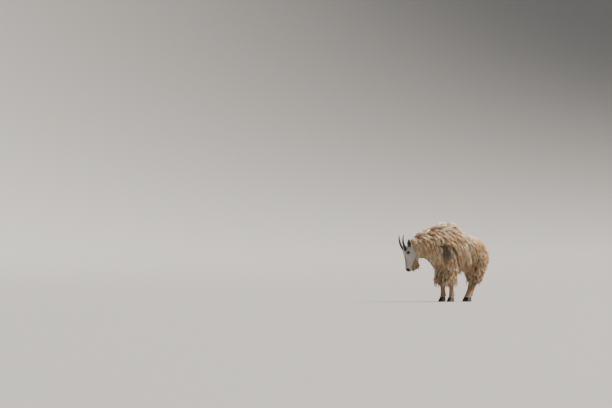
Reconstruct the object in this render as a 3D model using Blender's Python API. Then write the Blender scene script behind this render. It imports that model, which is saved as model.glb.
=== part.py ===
"""A mountain goat as a still, life-size museum model: head low and turned to its right, feet on the floor.

Metres, +Z up. The goat faces -X and its left side is towards -Y. The flesh is a few lofts through stations.
Each station states its reach in skin and, on top of that, the depth of the coat. The long coat is built
lock by lock.
"""

import math
import random

import bmesh
import bpy
from mathutils import Matrix, Vector
from mathutils.bvhtree import BVHTree

# Driving dimensions. The tables below are written for a goat this high at the withers, under its coat.
TABLE_HEIGHT = 0.92
WITHERS_HEIGHT = 0.92
SIZE = WITHERS_HEIGHT / TABLE_HEIGHT
TOUCH = 0.0004  # the gap that touching pieces keep
CORE_SHARE = 0.5  # how far the solid core reaches towards the tips of the coat
ROOT_DEPTH = 0.014 * SIZE  # how deep a lock is rooted in its core
SEAT = 0.0006  # how much larger a copy of a finished piece is when its neighbour is cut clear of it
SHARPEST = 2.0  # how many times that a sharp edge of the copy may move out
KEPT = 0.60  # the share of its triangles that a coat keeps once its crossing locks are one surface
SHORT_COAT = 0.01  # a coat on the legs that is less deep than this has no locks
SEED = 45

UP = Vector((0, 0, 1))
DOWN = Vector((0, 0, -1))
FORWARD = Vector((-1, 0, 0))

# Feet: where each one stands.
FORE_FEET = {"left": Vector((-0.325, -0.088, 0)) * SIZE, "right": Vector((-0.285, 0.088, 0)) * SIZE}
HIND_FEET = {"left": Vector((0.005, -0.096, 0)) * SIZE, "right": Vector((0.205, 0.096, 0)) * SIZE}
HIND_HIP = 0.244 * SIZE  # where a hind foot would stand with its leg as the table has it

# Trunk, from the buttocks to the end of the neck inside the head.
# x, y, z of the centre | reach to side, up, down | coat to side, up, down | how narrow the top is
TRUNK = [
    (0.418, 0.000, 0.640, 0.050, 0.036, 0.055, 0.026, 0.024, 0.040, 0.0),
    (0.398, 0.000, 0.644, 0.080, 0.062, 0.096, 0.032, 0.026, 0.052, 0.0),
    (0.348, 0.000, 0.666, 0.112, 0.098, 0.132, 0.038, 0.030, 0.064, 0.1),
    (0.270, 0.000, 0.686, 0.140, 0.140, 0.156, 0.046, 0.038, 0.095, 0.2),
    (0.140, 0.000, 0.686, 0.160, 0.160, 0.165, 0.055, 0.048, 0.120, 0.2),
    (0.000, 0.000, 0.684, 0.168, 0.170, 0.178, 0.060, 0.062, 0.120, 0.2),
    (-0.130, 0.000, 0.682, 0.166, 0.196, 0.187, 0.062, 0.104, 0.115, 0.3),
    (-0.260, 0.000, 0.682, 0.156, 0.222, 0.187, 0.060, 0.124, 0.105, 0.4),
    (-0.370, 0.000, 0.690, 0.146, 0.224, 0.182, 0.058, 0.126, 0.110, 0.4),
    (-0.460, 0.004, 0.708, 0.124, 0.198, 0.165, 0.058, 0.124, 0.120, 0.3),
    (-0.550, 0.020, 0.724, 0.104, 0.166, 0.145, 0.058, 0.108, 0.105, 0.3),
    (-0.640, 0.052, 0.728, 0.090, 0.134, 0.126, 0.056, 0.094, 0.055, 0.3),
    (-0.724, 0.090, 0.716, 0.080, 0.108, 0.110, 0.052, 0.076, 0.048, 0.2),
    (-0.800, 0.124, 0.694, 0.068, 0.088, 0.096, 0.040, 0.048, 0.036, 0.1),
    (-0.846, 0.144, 0.682, 0.045, 0.060, 0.066, 0.020, 0.030, 0.020, 0.0),
]
NECK_JOIN = 9.0  # the station where the neck leaves the torso

# Head: its own frame starts between the eyes, runs down to the lips and faces forward with the forehead.
HEAD_ORIGIN = Vector((-0.877, 0.150, 0.628)) * SIZE
HEAD_TURN = math.radians(20)  # to the goat's right
HEAD_PITCH = math.radians(88)  # how far the face hangs down from level
# distance along | reach to side, to forehead, to jaw | coat to side, to forehead, to jaw
HEAD = [
    (-0.086, 0.024, 0.022, 0.026, 0.006, 0.008, 0.006),
    (-0.076, 0.042, 0.040, 0.044, 0.008, 0.012, 0.008),
    (-0.052, 0.056, 0.064, 0.064, 0.010, 0.016, 0.012),
    (-0.022, 0.060, 0.080, 0.082, 0.008, 0.016, 0.014),
    (0.004, 0.060, 0.077, 0.094, 0.006, 0.007, 0.016),
    (0.034, 0.056, 0.067, 0.098, 0.007, 0.005, 0.018),
    (0.070, 0.046, 0.058, 0.090, 0.008, 0.004, 0.018),
    (0.110, 0.038, 0.050, 0.072, 0.006, 0.003, 0.012),
    (0.150, 0.0335, 0.046, 0.055, 0.005, 0.003, 0.007),
    (0.185, 0.0320, 0.043, 0.047, 0.004, 0.003, 0.005),
    (0.210, 0.0330, 0.041, 0.042, 0.003, 0.002, 0.004),
    (0.228, 0.0290, 0.034, 0.035, 0.002, 0.002, 0.003),
    (0.238, 0.0190, 0.022, 0.023, 0.001, 0.001, 0.002),
]
# Swellings and hollows of the skull: place (along, aside, towards the forehead), radius, height.
HEAD_FORMS = [
    ((-0.014, 0.050, 0.064), 0.020, 0.006),
    ((0.002, 0.060, 0.038), 0.020, -0.006),
    ((0.040, 0.050, -0.010), 0.030, 0.004),
    ((0.028, 0.045, -0.060), 0.032, 0.007),
    ((0.110, 0.036, 0.025), 0.030, -0.004),
    ((0.206, 0.027, 0.022), 0.015, 0.006),
    ((0.205, 0.020, -0.022), 0.016, 0.004),
]

# Legs. height | offset back from the foot, reach to side, front, back | coat to side, front, back
FORE_LEG = [
    (0.740, -0.010, 0.050, 0.080, 0.090, 0.03, 0.03, 0.03),
    (0.650, -0.020, 0.066, 0.095, 0.105, 0.04, 0.04, 0.04),
    (0.560, -0.014, 0.060, 0.072, 0.085, 0.045, 0.050, 0.040),
    (0.480, -0.014, 0.047, 0.052, 0.060, 0.052, 0.070, 0.044),
    (0.400, -0.018, 0.040, 0.043, 0.045, 0.056, 0.080, 0.042),
    (0.320, -0.020, 0.034, 0.037, 0.036, 0.054, 0.082, 0.038),
    (0.270, -0.022, 0.035, 0.040, 0.032, 0.048, 0.074, 0.034),
    (0.222, -0.018, 0.029, 0.030, 0.029, 0.036, 0.056, 0.028),
    (0.205, -0.017, 0.027, 0.028, 0.028, 0.006, 0.007, 0.006),
    (0.150, -0.012, 0.0245, 0.025, 0.027, 0.003, 0.003, 0.003),
    (0.105, -0.009, 0.029, 0.029, 0.034, 0.003, 0.003, 0.003),
    (0.080, -0.012, 0.029, 0.029, 0.031, 0.003, 0.003, 0.003),
    (0.058, -0.018, 0.030, 0.034, 0.031, 0.002, 0.002, 0.002),
]
HIND_LEG = [
    (0.760, 0.030, 0.010, 0.050, 0.020, 0.01, 0.01, 0.01),
    (0.670, 0.035, 0.045, 0.105, 0.070, 0.03, 0.04, 0.02),
    (0.570, 0.040, 0.058, 0.095, 0.084, 0.045, 0.045, 0.035),
    (0.490, 0.055, 0.054, 0.072, 0.070, 0.052, 0.050, 0.040),
    (0.420, 0.074, 0.041, 0.052, 0.050, 0.052, 0.050, 0.032),
    (0.350, 0.092, 0.034, 0.040, 0.042, 0.046, 0.044, 0.028),
    (0.305, 0.094, 0.031, 0.035, 0.036, 0.038, 0.036, 0.024),
    (0.262, 0.084, 0.028, 0.031, 0.031, 0.028, 0.028, 0.020),
    (0.245, 0.079, 0.027, 0.030, 0.030, 0.006, 0.006, 0.006),
    (0.170, 0.052, 0.0245, 0.026, 0.028, 0.003, 0.003, 0.003),
    (0.108, 0.024, 0.029, 0.029, 0.034, 0.003, 0.003, 0.003),
    (0.082, 0.008, 0.029, 0.029, 0.031, 0.003, 0.003, 0.003),
    (0.058, -0.008, 0.030, 0.034, 0.031, 0.002, 0.002, 0.002),
]
LEG_JOIN = 3.0  # the station where each leg leaves the torso
HOOF_TOP = 0.058 * SIZE

TAIL = [
    (0.392, 0.000, 0.722, 0.026, 0.020, 0.020, 0.020, 0.018, 0.020, 0.0),
    (0.448, 0.000, 0.698, 0.023, 0.017, 0.017, 0.022, 0.022, 0.022, 0.0),
    (0.476, 0.000, 0.652, 0.018, 0.012, 0.013, 0.022, 0.022, 0.022, 0.0),
    (0.482, 0.000, 0.606, 0.010, 0.008, 0.008, 0.020, 0.020, 0.020, 0.0),
]

# Rows of the beard: distance along the face, angles round the jaw, length, width.
BEARD_ROWS = [
    (0.060, (128, 155, 205, 232), 0.085, 0.044),
    (0.085, (158, 202), 0.105, 0.042),
    (0.108, (142, 180, 218), 0.120, 0.042),
    (0.132, (156, 204), 0.115, 0.038),
    (0.155, (180,), 0.090, 0.034),
]
# Rows of the long coat: angle from the crest, spacing along the row, width, times the depth in the tables.
TORSO_ROWS = [
    (7, 0.080, 0.095, 1.1),
    (36, 0.150, 0.130, 1.1),
    (68, 0.160, 0.140, 1.0),
    (100, 0.160, 0.140, 1.0),
    (132, 0.150, 0.130, 1.0),
    (162, 0.130, 0.120, 1.0),
]
HIP_TIERS = (0.590, 0.515)  # heights of the rows over the tops of the legs
HIP_LOCK = (0.130, 0.120, 0.016)  # length, width, thickness
LEG_LOCK = (0.115, 0.085, 0.013)
NECK_ROWS = [
    (8, 0.062, 0.085, 1.1),
    (40, 0.120, 0.115, 1.1),
    (76, 0.125, 0.120, 1.0),
    (112, 0.125, 0.120, 1.0),
    (150, 0.125, 0.110, 1.0),
]
LEG_TIERS = {"fore": (0.440, 0.362, 0.288), "hind": (0.455, 0.388, 0.320)}  # heights of the locks' roots

EYE_MESH = (12, 7)
EYE_RADIUS = 0.0165 * SIZE
EYE_PLACE = (0.002, 0.0490, 0.040)  # along, aside, towards the forehead
EYE_OPENING = math.radians(58)  # half the opening between the corners of the lids
UPPER_LID, LOWER_LID = 0.50, 0.42  # how far the lids stand apart, up and down
LID_DEPTH = 0.0032 * SIZE
LID_RIM = 0.0025 * SIZE
HORN_BASE = (-0.020, 0.026, 0.052)
HORN_LENGTH = 0.222 * SIZE
HORN_RADIUS = 0.0185 * SIZE
HORN_LEAN = math.radians(47)  # forward of the line of the face where the horn starts
HORN_CURL = math.radians(58)  # how far it turns back by the tip
HORN_SPREAD = math.radians(9)
EAR_BASE = (-0.052, 0.046, 0.020)
EAR_LENGTH = 0.130 * SIZE
EAR_WIDTH = 0.029 * SIZE
EAR_THICKNESS = 0.0045 * SIZE
EAR_PROFILE = [(0.55,), (0.80,), (1.0,), (1.0,), (0.84,), (0.56,), (0.16,)]  # its half width from base to tip
EAR_FILL = [(0.0,), (0.25,), (0.8,), (1.0,), (1.0,), (1.0,), (1.0,)]  # how far its cup is hollow


def smooth(rows, place):
    """The row at a fractional place in a table, on a smooth curve through its rows."""
    last = len(rows) - 1
    place = min(max(place, 0.0), last)
    start = min(int(place), last - 1)
    t = place - start
    before, a, b, after = (rows[min(max(start + k, 0), last)] for k in (-1, 0, 1, 2))
    return [
        q + 0.5 * t * (r - p + t * (2 * p - 5 * q + 4 * r - s + t * (3 * (q - r) + s - p)))
        for p, q, r, s in zip(before, a, b, after)
    ]


class Loft:
    """A closed form round a line of stations. Angle 0 is its up side, and 90 degrees its left."""

    def __init__(self, rows, up):
        self.rows = rows
        self.up = up
        self.last = len(rows) - 1

    def centre(self, place):
        return Vector(smooth(self.rows, place)[:3]) * SIZE

    def axes(self, place):
        step = 0.02
        run = self.centre(min(place + step, self.last)) - self.centre(max(place - step, 0))
        run.normalize()
        side = self.up.cross(run).normalized()
        return run, side, run.cross(side)

    def point(self, place, angle, share=0.0):
        """A point of the surface: share 0 is the skin, share 1 the coat's tips. It may vary by place."""
        share = share(place) if callable(share) else share
        row = smooth(self.rows, place)
        side, high, low, coat_side, coat_high, coat_low, narrow = (v * SIZE for v in row[3:10])
        _, across, above = self.axes(place)
        c, s = math.cos(angle), math.sin(angle)
        reach = high + share * coat_high if c > 0 else low + share * coat_low
        width = (side + share * coat_side) * (1 - narrow / SIZE * max(c, 0) ** 2)
        return self.centre(place) + across * width * s + above * reach * c

    def ring(self, place, segments, share, slide):
        run = self.axes(place)[0]
        return [self.point(place, math.tau * k / segments, share) + run * slide for k in range(segments)]

    def mesh(self, name, start, end, rings, segments, share=0.0, slide=(0, 0)):
        """The closed mesh between two places. A slide moves an end along the line, for the gap at a join."""
        places = [start + (end - start) * k / (rings - 1) for k in range(rings)]
        loops = []
        for k, place in enumerate(places):
            shift = slide[0] if k == 0 else slide[1] if k == rings - 1 else 0
            loops.append(self.ring(place, segments, share, shift))
        return mesh_from_loops(name, loops)


class HeadLoft(Loft):
    """The head: a loft in its own frame, with the swellings and hollows of the skull."""

    def __init__(self):
        face = Vector((-math.cos(HEAD_TURN), math.sin(HEAD_TURN), 0))
        self.along = face * math.cos(HEAD_PITCH) + DOWN * math.sin(HEAD_PITCH)
        self.brow = face * math.sin(HEAD_PITCH) + UP * math.cos(HEAD_PITCH)
        self.right = self.along.cross(self.brow) * -1
        if self.right.y < 0:
            self.right = -self.right
        rows = []
        for s, side, high, low, coat_side, coat_high, coat_low in HEAD:
            spot = HEAD_ORIGIN / SIZE + self.along * s
            rows.append((*spot, side, high, low, coat_side, coat_high, coat_low, 0.12))
        super().__init__(rows, self.brow)

    def place(self, along, aside, brow, side):
        """A point given in the head's own frame, on its left or right side."""
        sign = 1 if side == "right" else -1
        return HEAD_ORIGIN + (self.along * along + self.right * aside * sign + self.brow * brow) * SIZE

    def direction(self, along, aside, brow, side):
        sign = 1 if side == "right" else -1
        return (self.along * along + self.right * aside * sign + self.brow * brow).normalized()

    def point(self, place, angle, share=0.0):
        spot = super().point(place, angle, share)
        out = (spot - self.centre(place)).normalized()
        local = (spot - HEAD_ORIGIN) / SIZE
        along, aside, brow = local.dot(self.along), abs(local.dot(self.right)), local.dot(self.brow)
        for (a, b, c), radius, height in HEAD_FORMS:
            far = ((along - a) ** 2 + (aside - b) ** 2 + (brow - c) ** 2) / radius**2
            spot = spot + out * height * SIZE * math.exp(-far)
        return spot


class LegLoft(Loft):
    """A leg from the shoulder or hip down, with level rings. Its up side is the front of the leg."""

    SPREAD = 0.18  # how much further out the shoulder stands than the foot
    SPREAD_LOW, SPREAD_HIGH = 0.20, 0.60  # the heights between which it goes out

    def __init__(self, table, foot, stride=0.0):
        """stride is how far the foot stands ahead of its place in the table. The leg leans to follow it."""
        rows = []
        for height, back, side, front, rear, coat_side, coat_front, coat_rear in table:
            rise = min(max((height - self.SPREAD_LOW) / (self.SPREAD_HIGH - self.SPREAD_LOW), 0), 1)
            aside = foot.y / SIZE * (1 + self.SPREAD * rise)
            lean = min(height / self.SPREAD_HIGH, 1) ** 1.8 * stride / SIZE
            x = foot.x / SIZE + back + lean
            rows.append((x, aside, height, side, front, rear, coat_side, coat_front, coat_rear, 0))
        super().__init__(rows, FORWARD)

    def axes(self, place):
        return DOWN, Vector((0, -1, 0)), FORWARD


HEAD_LOFT = HeadLoft()
TRUNK_LOFT = Loft(TRUNK, UP)
TAIL_LOFT = Loft(TAIL, UP)
LEG_LOFTS = {("fore", side): LegLoft(FORE_LEG, FORE_FEET[side]) for side in ("left", "right")}
for side in ("left", "right"):
    LEG_LOFTS["hind", side] = LegLoft(HIND_LEG, HIND_FEET[side], HIND_HIP - HIND_FEET[side].x)


def mesh_from_loops(name, loops, tip=None):
    """A closed mesh from rings of points, capped at both ends, or drawn to a point at the last."""
    mesh = bmesh.new()
    rings = [[mesh.verts.new(p) for p in loop] for loop in loops]
    for a, b in zip(rings, rings[1:]):
        for k in range(len(a)):
            n = (k + 1) % len(a)
            mesh.faces.new((a[k], a[n], b[n], b[k]))
    mesh.faces.new(rings[0][::-1])
    if tip is None:
        mesh.faces.new(rings[-1])
    else:
        point = mesh.verts.new(tip)
        for k in range(len(rings[-1])):
            mesh.faces.new((rings[-1][k], rings[-1][(k + 1) % len(rings[-1])], point))
    return finished(name, mesh)


def finished(name, mesh):
    """Turns a bmesh into an object with triangles that face outwards."""
    bmesh.ops.triangulate(mesh, faces=mesh.faces[:])
    bmesh.ops.recalc_face_normals(mesh, faces=mesh.faces[:])
    if mesh.calc_volume(signed=True) < 0:
        bmesh.ops.reverse_faces(mesh, faces=mesh.faces[:])
    data = bpy.data.meshes.new(name)
    mesh.to_mesh(data)
    mesh.free()
    obj = bpy.data.objects.new(name, data)
    bpy.context.scene.collection.objects.link(obj)
    return obj


def combine(target, others, operation, solver="MANIFOLD"):
    """Applies one Boolean with a collection of closed objects, then removes them."""
    if not others:
        return target
    group = bpy.data.collections.new("pieces")
    bpy.context.scene.collection.children.link(group)
    for other in others:
        group.objects.link(other)
    modifier = target.modifiers.new("combine", "BOOLEAN")
    modifier.operation = operation
    modifier.operand_type = "COLLECTION"
    modifier.collection = group
    modifier.solver = solver
    graph = bpy.context.evaluated_depsgraph_get()
    data = bpy.data.meshes.new_from_object(target.evaluated_get(graph))
    target.modifiers.clear()
    old = target.data
    target.data = data
    bpy.data.meshes.remove(old)
    for other in others:
        bpy.data.objects.remove(other)
    bpy.data.collections.remove(group)
    return target


def keep_largest(obj):
    """Keeps only the largest closed surface, so that sealed hollows and loose scraps go."""
    mesh = bmesh.new()
    mesh.from_mesh(obj.data)
    bmesh.ops.triangulate(mesh, faces=mesh.faces[:])
    unseen = set(mesh.faces)
    best, best_size = [], -1.0
    while unseen:
        stack = [unseen.pop()]
        island = [stack[0]]
        while stack:
            for edge in stack.pop().edges:
                for face in edge.link_faces:
                    if face in unseen:
                        unseen.discard(face)
                        island.append(face)
                        stack.append(face)
        corners = [v.co for face in island for v in face.verts]
        size = max((max(c[k] for c in corners) - min(c[k] for c in corners)) for k in range(3))
        if size > best_size:
            best, best_size = island, size
    kept = set(best)
    bmesh.ops.delete(mesh, geom=[f for f in mesh.faces if f not in kept], context="FACES")
    bmesh.ops.delete(mesh, geom=[v for v in mesh.verts if not v.link_faces], context="VERTS")
    mesh.to_mesh(obj.data)
    mesh.free()
    return obj


def thinned(obj, share):
    """Collapses the smallest triangles, mostly slivers where locks cross, down to a share of their number."""
    modifier = obj.modifiers.new("thin", "DECIMATE")
    modifier.ratio = share
    modifier.use_collapse_triangulate = True
    graph = bpy.context.evaluated_depsgraph_get()
    data = bpy.data.meshes.new_from_object(obj.evaluated_get(graph))
    obj.modifiers.clear()
    obj.data = data
    return obj


def tree_of(objects):
    """A search tree over the faces of several objects."""
    points, faces = [], []
    for obj in objects:
        first = len(points)
        points.extend(v.co.copy() for v in obj.data.vertices)
        faces.extend(tuple(first + k for k in f.vertices) for f in obj.data.polygons)
    return BVHTree.FromPolygons(points, faces)


class Lock:
    """A flat, tapered lock of hair: its line, the outward side at each point, its width and thickness."""

    WIDTHS = (0.62, 1.0, 0.92, 0.60)
    CRESTS = (0.9, 1.0, 0.85, 0.60)
    TWIST = 0.2  # the most that a lock turns about its own line from one ring to the next, as a sine

    def __init__(self, path, outs, width, thickness):
        """A lock that would fold through itself where it bends is made narrower until it doesn't."""
        self.path = path
        self.outs = outs
        self.width = width
        self.thickness = thickness
        while self.folds() and self.width > 0.3 * width:
            self.width *= 0.85

    def folds(self):
        """Whether two neighbouring rings of the lock cross."""
        loops = [*self.rings(), [self.path[-1]] * 3]
        for a, b in zip(loops, loops[1:]):
            for near, far in ((a, b), (b, a)):
                ahead = (near[1] - near[0]).cross(near[2] - near[0])
                if ahead.length < 1e-9:
                    continue
                ahead = ahead.normalized() * (1 if ahead.dot(far[0] + far[2] - near[0] - near[2]) > 0 else -1)
                if min((q - p).dot(ahead) for p in near for q in far) < 0.001:
                    return True
        return False

    def rings(self):
        """The triangular rings of the lock, from its root to just before its tip."""
        last = len(self.path) - 1
        loops = []
        before = None
        for k in range(last):
            run = (self.path[k + 1] - self.path[max(k - 1, 0)]).normalized()
            side = run.cross(self.outs[k]).normalized()
            if before is not None:
                level = (before - run * run.dot(before)).normalized()
                turn = side - level
                side = (level + turn * min(1, self.TWIST / max(turn.length, 1e-9))).normalized()
            before = side
            out = side.cross(run)
            along = k / last * (len(self.WIDTHS) - 0.001)
            half = self.width / 2 * smooth([(w,) for w in self.WIDTHS], along)[0]
            crest = self.thickness * smooth([(c,) for c in self.CRESTS], along)[0]
            spot = self.path[k]
            loops.append([spot - side * half, spot + out * crest, spot + side * half])
        return loops

    def solid(self):
        """The closed mesh of the lock."""
        return mesh_from_loops("lock", self.rings(), tip=self.path[-1])


def lock_line(flesh, root, normal, lie, length, depth, droop, wave=0.0, root_depth=ROOT_DEPTH, steps=3):
    """The line of one lock: rooted in its core, lying along the coat, rising to its depth and drooping."""
    path = [root - normal * root_depth]
    outs = [normal]
    heading = (lie - normal * lie.dot(normal) * 0.7).normalized()
    here, out = root.copy(), normal
    for k in range(1, steps + 1):
        share = k / steps
        heading = (heading * (1 - droop) + DOWN * droop).normalized()
        aside = heading.cross(out).normalized()
        here = here + (heading + aside * wave * math.sin(share * math.tau)) * (length / steps)
        spot, face_out, _, _ = flesh.find_nearest(here)
        height = (here - spot).dot(face_out)
        wanted = depth * share**0.75
        if height < wanted:
            here = spot + face_out * wanted
        if abs(face_out.dot(heading)) < 0.8:
            out = (out + face_out * 0.7).normalized()
        path.append(here.copy())
        outs.append(out.copy())
    return path, outs


def places_along(loft, start, end, spacing):
    """Places from start to end, evenly spaced along the line of a loft."""
    fine = [start + (end - start) * k / 200 for k in range(201)]
    reach = [0.0]
    for a, b in zip(fine, fine[1:]):
        reach.append(reach[-1] + (loft.centre(b) - loft.centre(a)).length)
    count = max(2, round(reach[-1] / spacing) + 1)
    found = []
    for k in range(count):
        wanted = reach[-1] * k / (count - 1)
        found.append(next(p for p, r in zip(fine, reach) if r >= wanted - 1e-9))
    return found


def coat_depth(loft, place, angle):
    """The depth of the coat over the core at a place of a loft."""
    row = smooth(loft.rows, place)
    side, high, low = (v * SIZE for v in row[6:9])
    c, s = math.cos(angle), math.sin(angle)
    return (1 - CORE_SHARE) * math.hypot(side * s, (high if c > 0 else low) * c)


def torso_lie(normal, angle, left):
    """How the coat lies on the trunk: back along the crest, down and back on the sides, down at both ends."""
    side = -1 if left else 1
    if normal.x > 0.35:
        return Vector((0.25, 0.12 * side, -1))
    if normal.x < -0.6:
        return Vector((0.15, 0.2 * side, -1))
    if angle < math.radians(28):
        return Vector((0.9, 0.22 * side, 0.22))
    if angle < math.radians(60):
        return Vector((0.62, 0.45 * side, -0.45))
    return Vector((0.42, 0.10 * side, -0.9))


def coat_rows(loft, core, flesh, start, end, rows, length, thickness, rng, droop=0.16):
    """Locks in staggered rows over both sides of a loft. length is a function of the angle in degrees."""
    locks = []
    search = tree_of([core])
    for row, (degrees, spacing, width, deepen) in enumerate(rows):
        for left in (True, False):
            places = places_along(loft, start, end, spacing * SIZE)
            step = (places[1] - places[0]) * 0.5
            for place in places:
                place = place + (step if row % 2 else 0) + rng.uniform(-0.3, 0.3) * step
                place = min(max(place, start), end)
                angle = math.radians(degrees + rng.uniform(-4, 4))
                turn = angle if left else -angle
                outside = loft.point(place, turn, 2.5)
                inward = (loft.centre(place) - outside).normalized()
                root, normal, _, _ = search.ray_cast(outside, inward)
                if root is None:
                    continue
                lie = torso_lie(normal, angle, left) + Vector([rng.uniform(-0.12, 0.12) for _ in range(3)])
                depth = coat_depth(loft, place, angle) * deepen * rng.uniform(0.85, 1.15)
                reach = length(degrees, place) * rng.uniform(0.85, 1.15)
                line = lock_line(flesh, root, normal, lie, reach, depth, droop, rng.uniform(-0.12, 0.12))
                locks.append(Lock(*line, width * SIZE * rng.uniform(0.85, 1.15), thickness))
    return locks


def leg_coat(loft, core, flesh, heights, around, size, rng, outer=False):
    """The long hair of an upper leg, in staggered tiers that hang and flare, all round or only outside."""
    locks = []
    length, width, thickness = (v * SIZE for v in size)
    search = tree_of([core])
    for row, height in enumerate(heights):
        place = place_at_height(loft, height * SIZE)
        for k in range(around):
            angle = math.tau * (k + 0.5 * (row % 2)) / around + rng.uniform(-0.12, 0.12)
            outside = loft.point(place, angle, 3.0)
            inward = (loft.centre(place) - outside).normalized()
            root, normal, _, _ = search.ray_cast(outside, inward)
            if root is None or (outer and normal.y * loft.centre(place).y < 0.2 * abs(loft.centre(place).y)):
                continue
            lie = Vector((0.08, 0, -1)) + normal * 0.25
            depth = coat_depth(loft, place, angle) * rng.uniform(0.8, 1.1)
            line = lock_line(flesh, root, normal, lie, length * rng.uniform(0.85, 1.12), depth, 0.2)
            locks.append(Lock(*line, width * rng.uniform(0.85, 1.1), thickness))
    return locks


def place_at_height(loft, height):
    """The place of a leg's loft at a height above the floor."""
    low, high = 0.0, float(loft.last)
    for _ in range(40):
        middle = (low + high) / 2
        if loft.centre(middle).z > height:
            low = middle
        else:
            high = middle
    return low


def ellipsoid(name, centre, reaches, around=14, rings=8):
    """A closed ellipsoid. reaches are its three half-axes as vectors."""
    mesh = bmesh.new()
    bmesh.ops.create_uvsphere(mesh, u_segments=around, v_segments=rings, radius=1)
    matrix = Matrix((reaches[0], reaches[1], reaches[2])).transposed().to_4x4()
    matrix.translation = centre
    bmesh.ops.transform(mesh, matrix=matrix, verts=mesh.verts)
    return finished(name, mesh)


def circle(centre, side, above, radius, sides):
    turns = [math.tau * k / sides for k in range(sides)]
    return [centre + (side * math.cos(a) + above * math.sin(a)) * radius for a in turns]


def tube(name, spots, radii, sides, hint):
    """A closed round rod along points, each with its radius. hint is a direction that it never runs along."""
    loops = []
    for k, spot in enumerate(spots):
        run = (spots[min(k + 1, len(spots) - 1)] - spots[max(k - 1, 0)]).normalized()
        side = run.cross(hint).normalized()
        above = side.cross(run)
        loops.append(circle(spot, side, above, radii[k], sides))
    return mesh_from_loops(name, loops)


def horn(name, side, grow=0.0, steps=10, sides=8):
    """A black dagger horn: leaning forward at its root and curling gently back to a fine tip."""
    along, aside, brow = HORN_BASE
    spots, radii = [], []
    for k in range(steps + 1):
        t = k / steps
        spots.append(HEAD_LOFT.place(along, aside, brow, side))
        radii.append(HORN_RADIUS * (1 - t) ** 0.7 + grow)
        lean = HORN_LEAN - HORN_CURL * (t + 0.5 / steps)
        step = HORN_LENGTH / SIZE / steps
        along -= step * math.cos(lean)
        brow += step * math.sin(lean)
        aside += step * math.tan(HORN_SPREAD)
    spots[0] -= (spots[1] - spots[0]).normalized() * grow
    loops = []
    for k in range(steps):
        run = (spots[k + 1] - spots[max(k - 1, 0)]).normalized()
        across = (HEAD_LOFT.right - run * run.dot(HEAD_LOFT.right)).normalized()
        other = run.cross(across)
        loops.append(circle(spots[k], across, other, radii[k], sides))
    run = (spots[-1] - spots[-2]).normalized()
    return mesh_from_loops(name, loops, tip=spots[-1] + run * grow * 4)


def ear(name, side, steps=7, half_points=4):
    """A leaf-shaped ear, cupped towards the front and the side, its hollow running out into the tip."""
    base = HEAD_LOFT.place(*EAR_BASE, side)
    axis = HEAD_LOFT.direction(-0.84, 0.38, 0.28, side)
    opening = HEAD_LOFT.direction(0.35, 0.72, 0.62, side)
    opening = (opening - axis * axis.dot(opening)).normalized()
    across = axis.cross(opening)
    loops = []
    for k in range(steps):
        t = k / (steps - 1)
        half = EAR_WIDTH * smooth(EAR_PROFILE, t * (len(EAR_PROFILE) - 1))[0]
        fill = smooth(EAR_FILL, t * (len(EAR_FILL) - 1))[0]
        spot = base + axis * EAR_LENGTH * t + opening * 0.014 * SIZE * t * t
        deep = half * 0.62
        bend = [math.radians(100) * j / half_points for j in range(-half_points, half_points + 1)]
        outer = [
            spot + across * half * math.sin(b) - opening * deep * math.cos(b) for b in bend
        ]
        thin = min(EAR_THICKNESS, half * 0.5)
        inner = [
            spot
            + across * (half - thin) * math.sin(b)
            - opening * ((deep - thin) * math.cos(b) * fill - (1 - fill) * deep * 0.5)
            for b in reversed(bend)
        ]
        loops.append(outer + inner)
    return mesh_from_loops(name, loops)


def eye_axes(side):
    """The way an eye looks, the way to its front corner and the way to its upper lid."""
    look = HEAD_LOFT.direction(0.06, 0.93, 0.26, side)
    corner = HEAD_LOFT.direction(1.0, 0.0, -0.12, side)
    corner = (corner - look * look.dot(corner)).normalized()
    upper = look.cross(corner)
    return look, corner, upper if upper.dot(HEAD_LOFT.brow) > 0 else -upper


def lid_heading(side, turn, spread=1.0):
    """The direction from the middle of the eye to a point of the rim of its lids."""
    look, corner, upper = eye_axes(side)
    swing = EYE_OPENING * math.cos(turn) * spread
    rise = math.sin(turn) * (UPPER_LID if math.sin(turn) > 0 else LOWER_LID) * spread
    return (look * math.cos(swing) + corner * math.sin(swing) + upper * rise).normalized()


def eye_opening(side, steps=12):
    """The almond opening between the lids, as a wedge from the middle of the eye outwards."""
    centre = HEAD_LOFT.place(*EYE_PLACE, side)
    look = eye_axes(side)[0]
    turns = [math.tau * k / steps for k in range(steps)]
    near = [centre + look * 0.2 * EYE_RADIUS + lid_heading(side, a) * 0.05 * EYE_RADIUS for a in turns]
    far = [centre + lid_heading(side, a) * 1.7 * EYE_RADIUS for a in turns]
    return mesh_from_loops("opening", [near, far])


def lid(side, upper):
    """The rim of one eyelid, a soft roll that follows the opening from corner to corner."""
    centre = HEAD_LOFT.place(*EYE_PLACE, side)
    thick = LID_RIM if upper else 0.8 * LID_RIM
    spots, radii = [], []
    steps = 6
    for k in range(steps + 1):
        a = k / steps
        turn = math.pi * a if upper else -math.pi * a
        spots.append(centre + lid_heading(side, turn, 1.1) * (EYE_RADIUS + LID_DEPTH * 0.8))
        radii.append(thick * (0.6 + 0.4 * math.sin(math.pi * a)))
    return tube("lid", spots, radii, 4, eye_axes(side)[0])


def nearest_place(along):
    """The place of the head's loft at a distance along the face."""
    return min((k / 10 for k in range(10 * HEAD_LOFT.last + 1)), key=lambda p: abs(head_along(p) - along))


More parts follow.
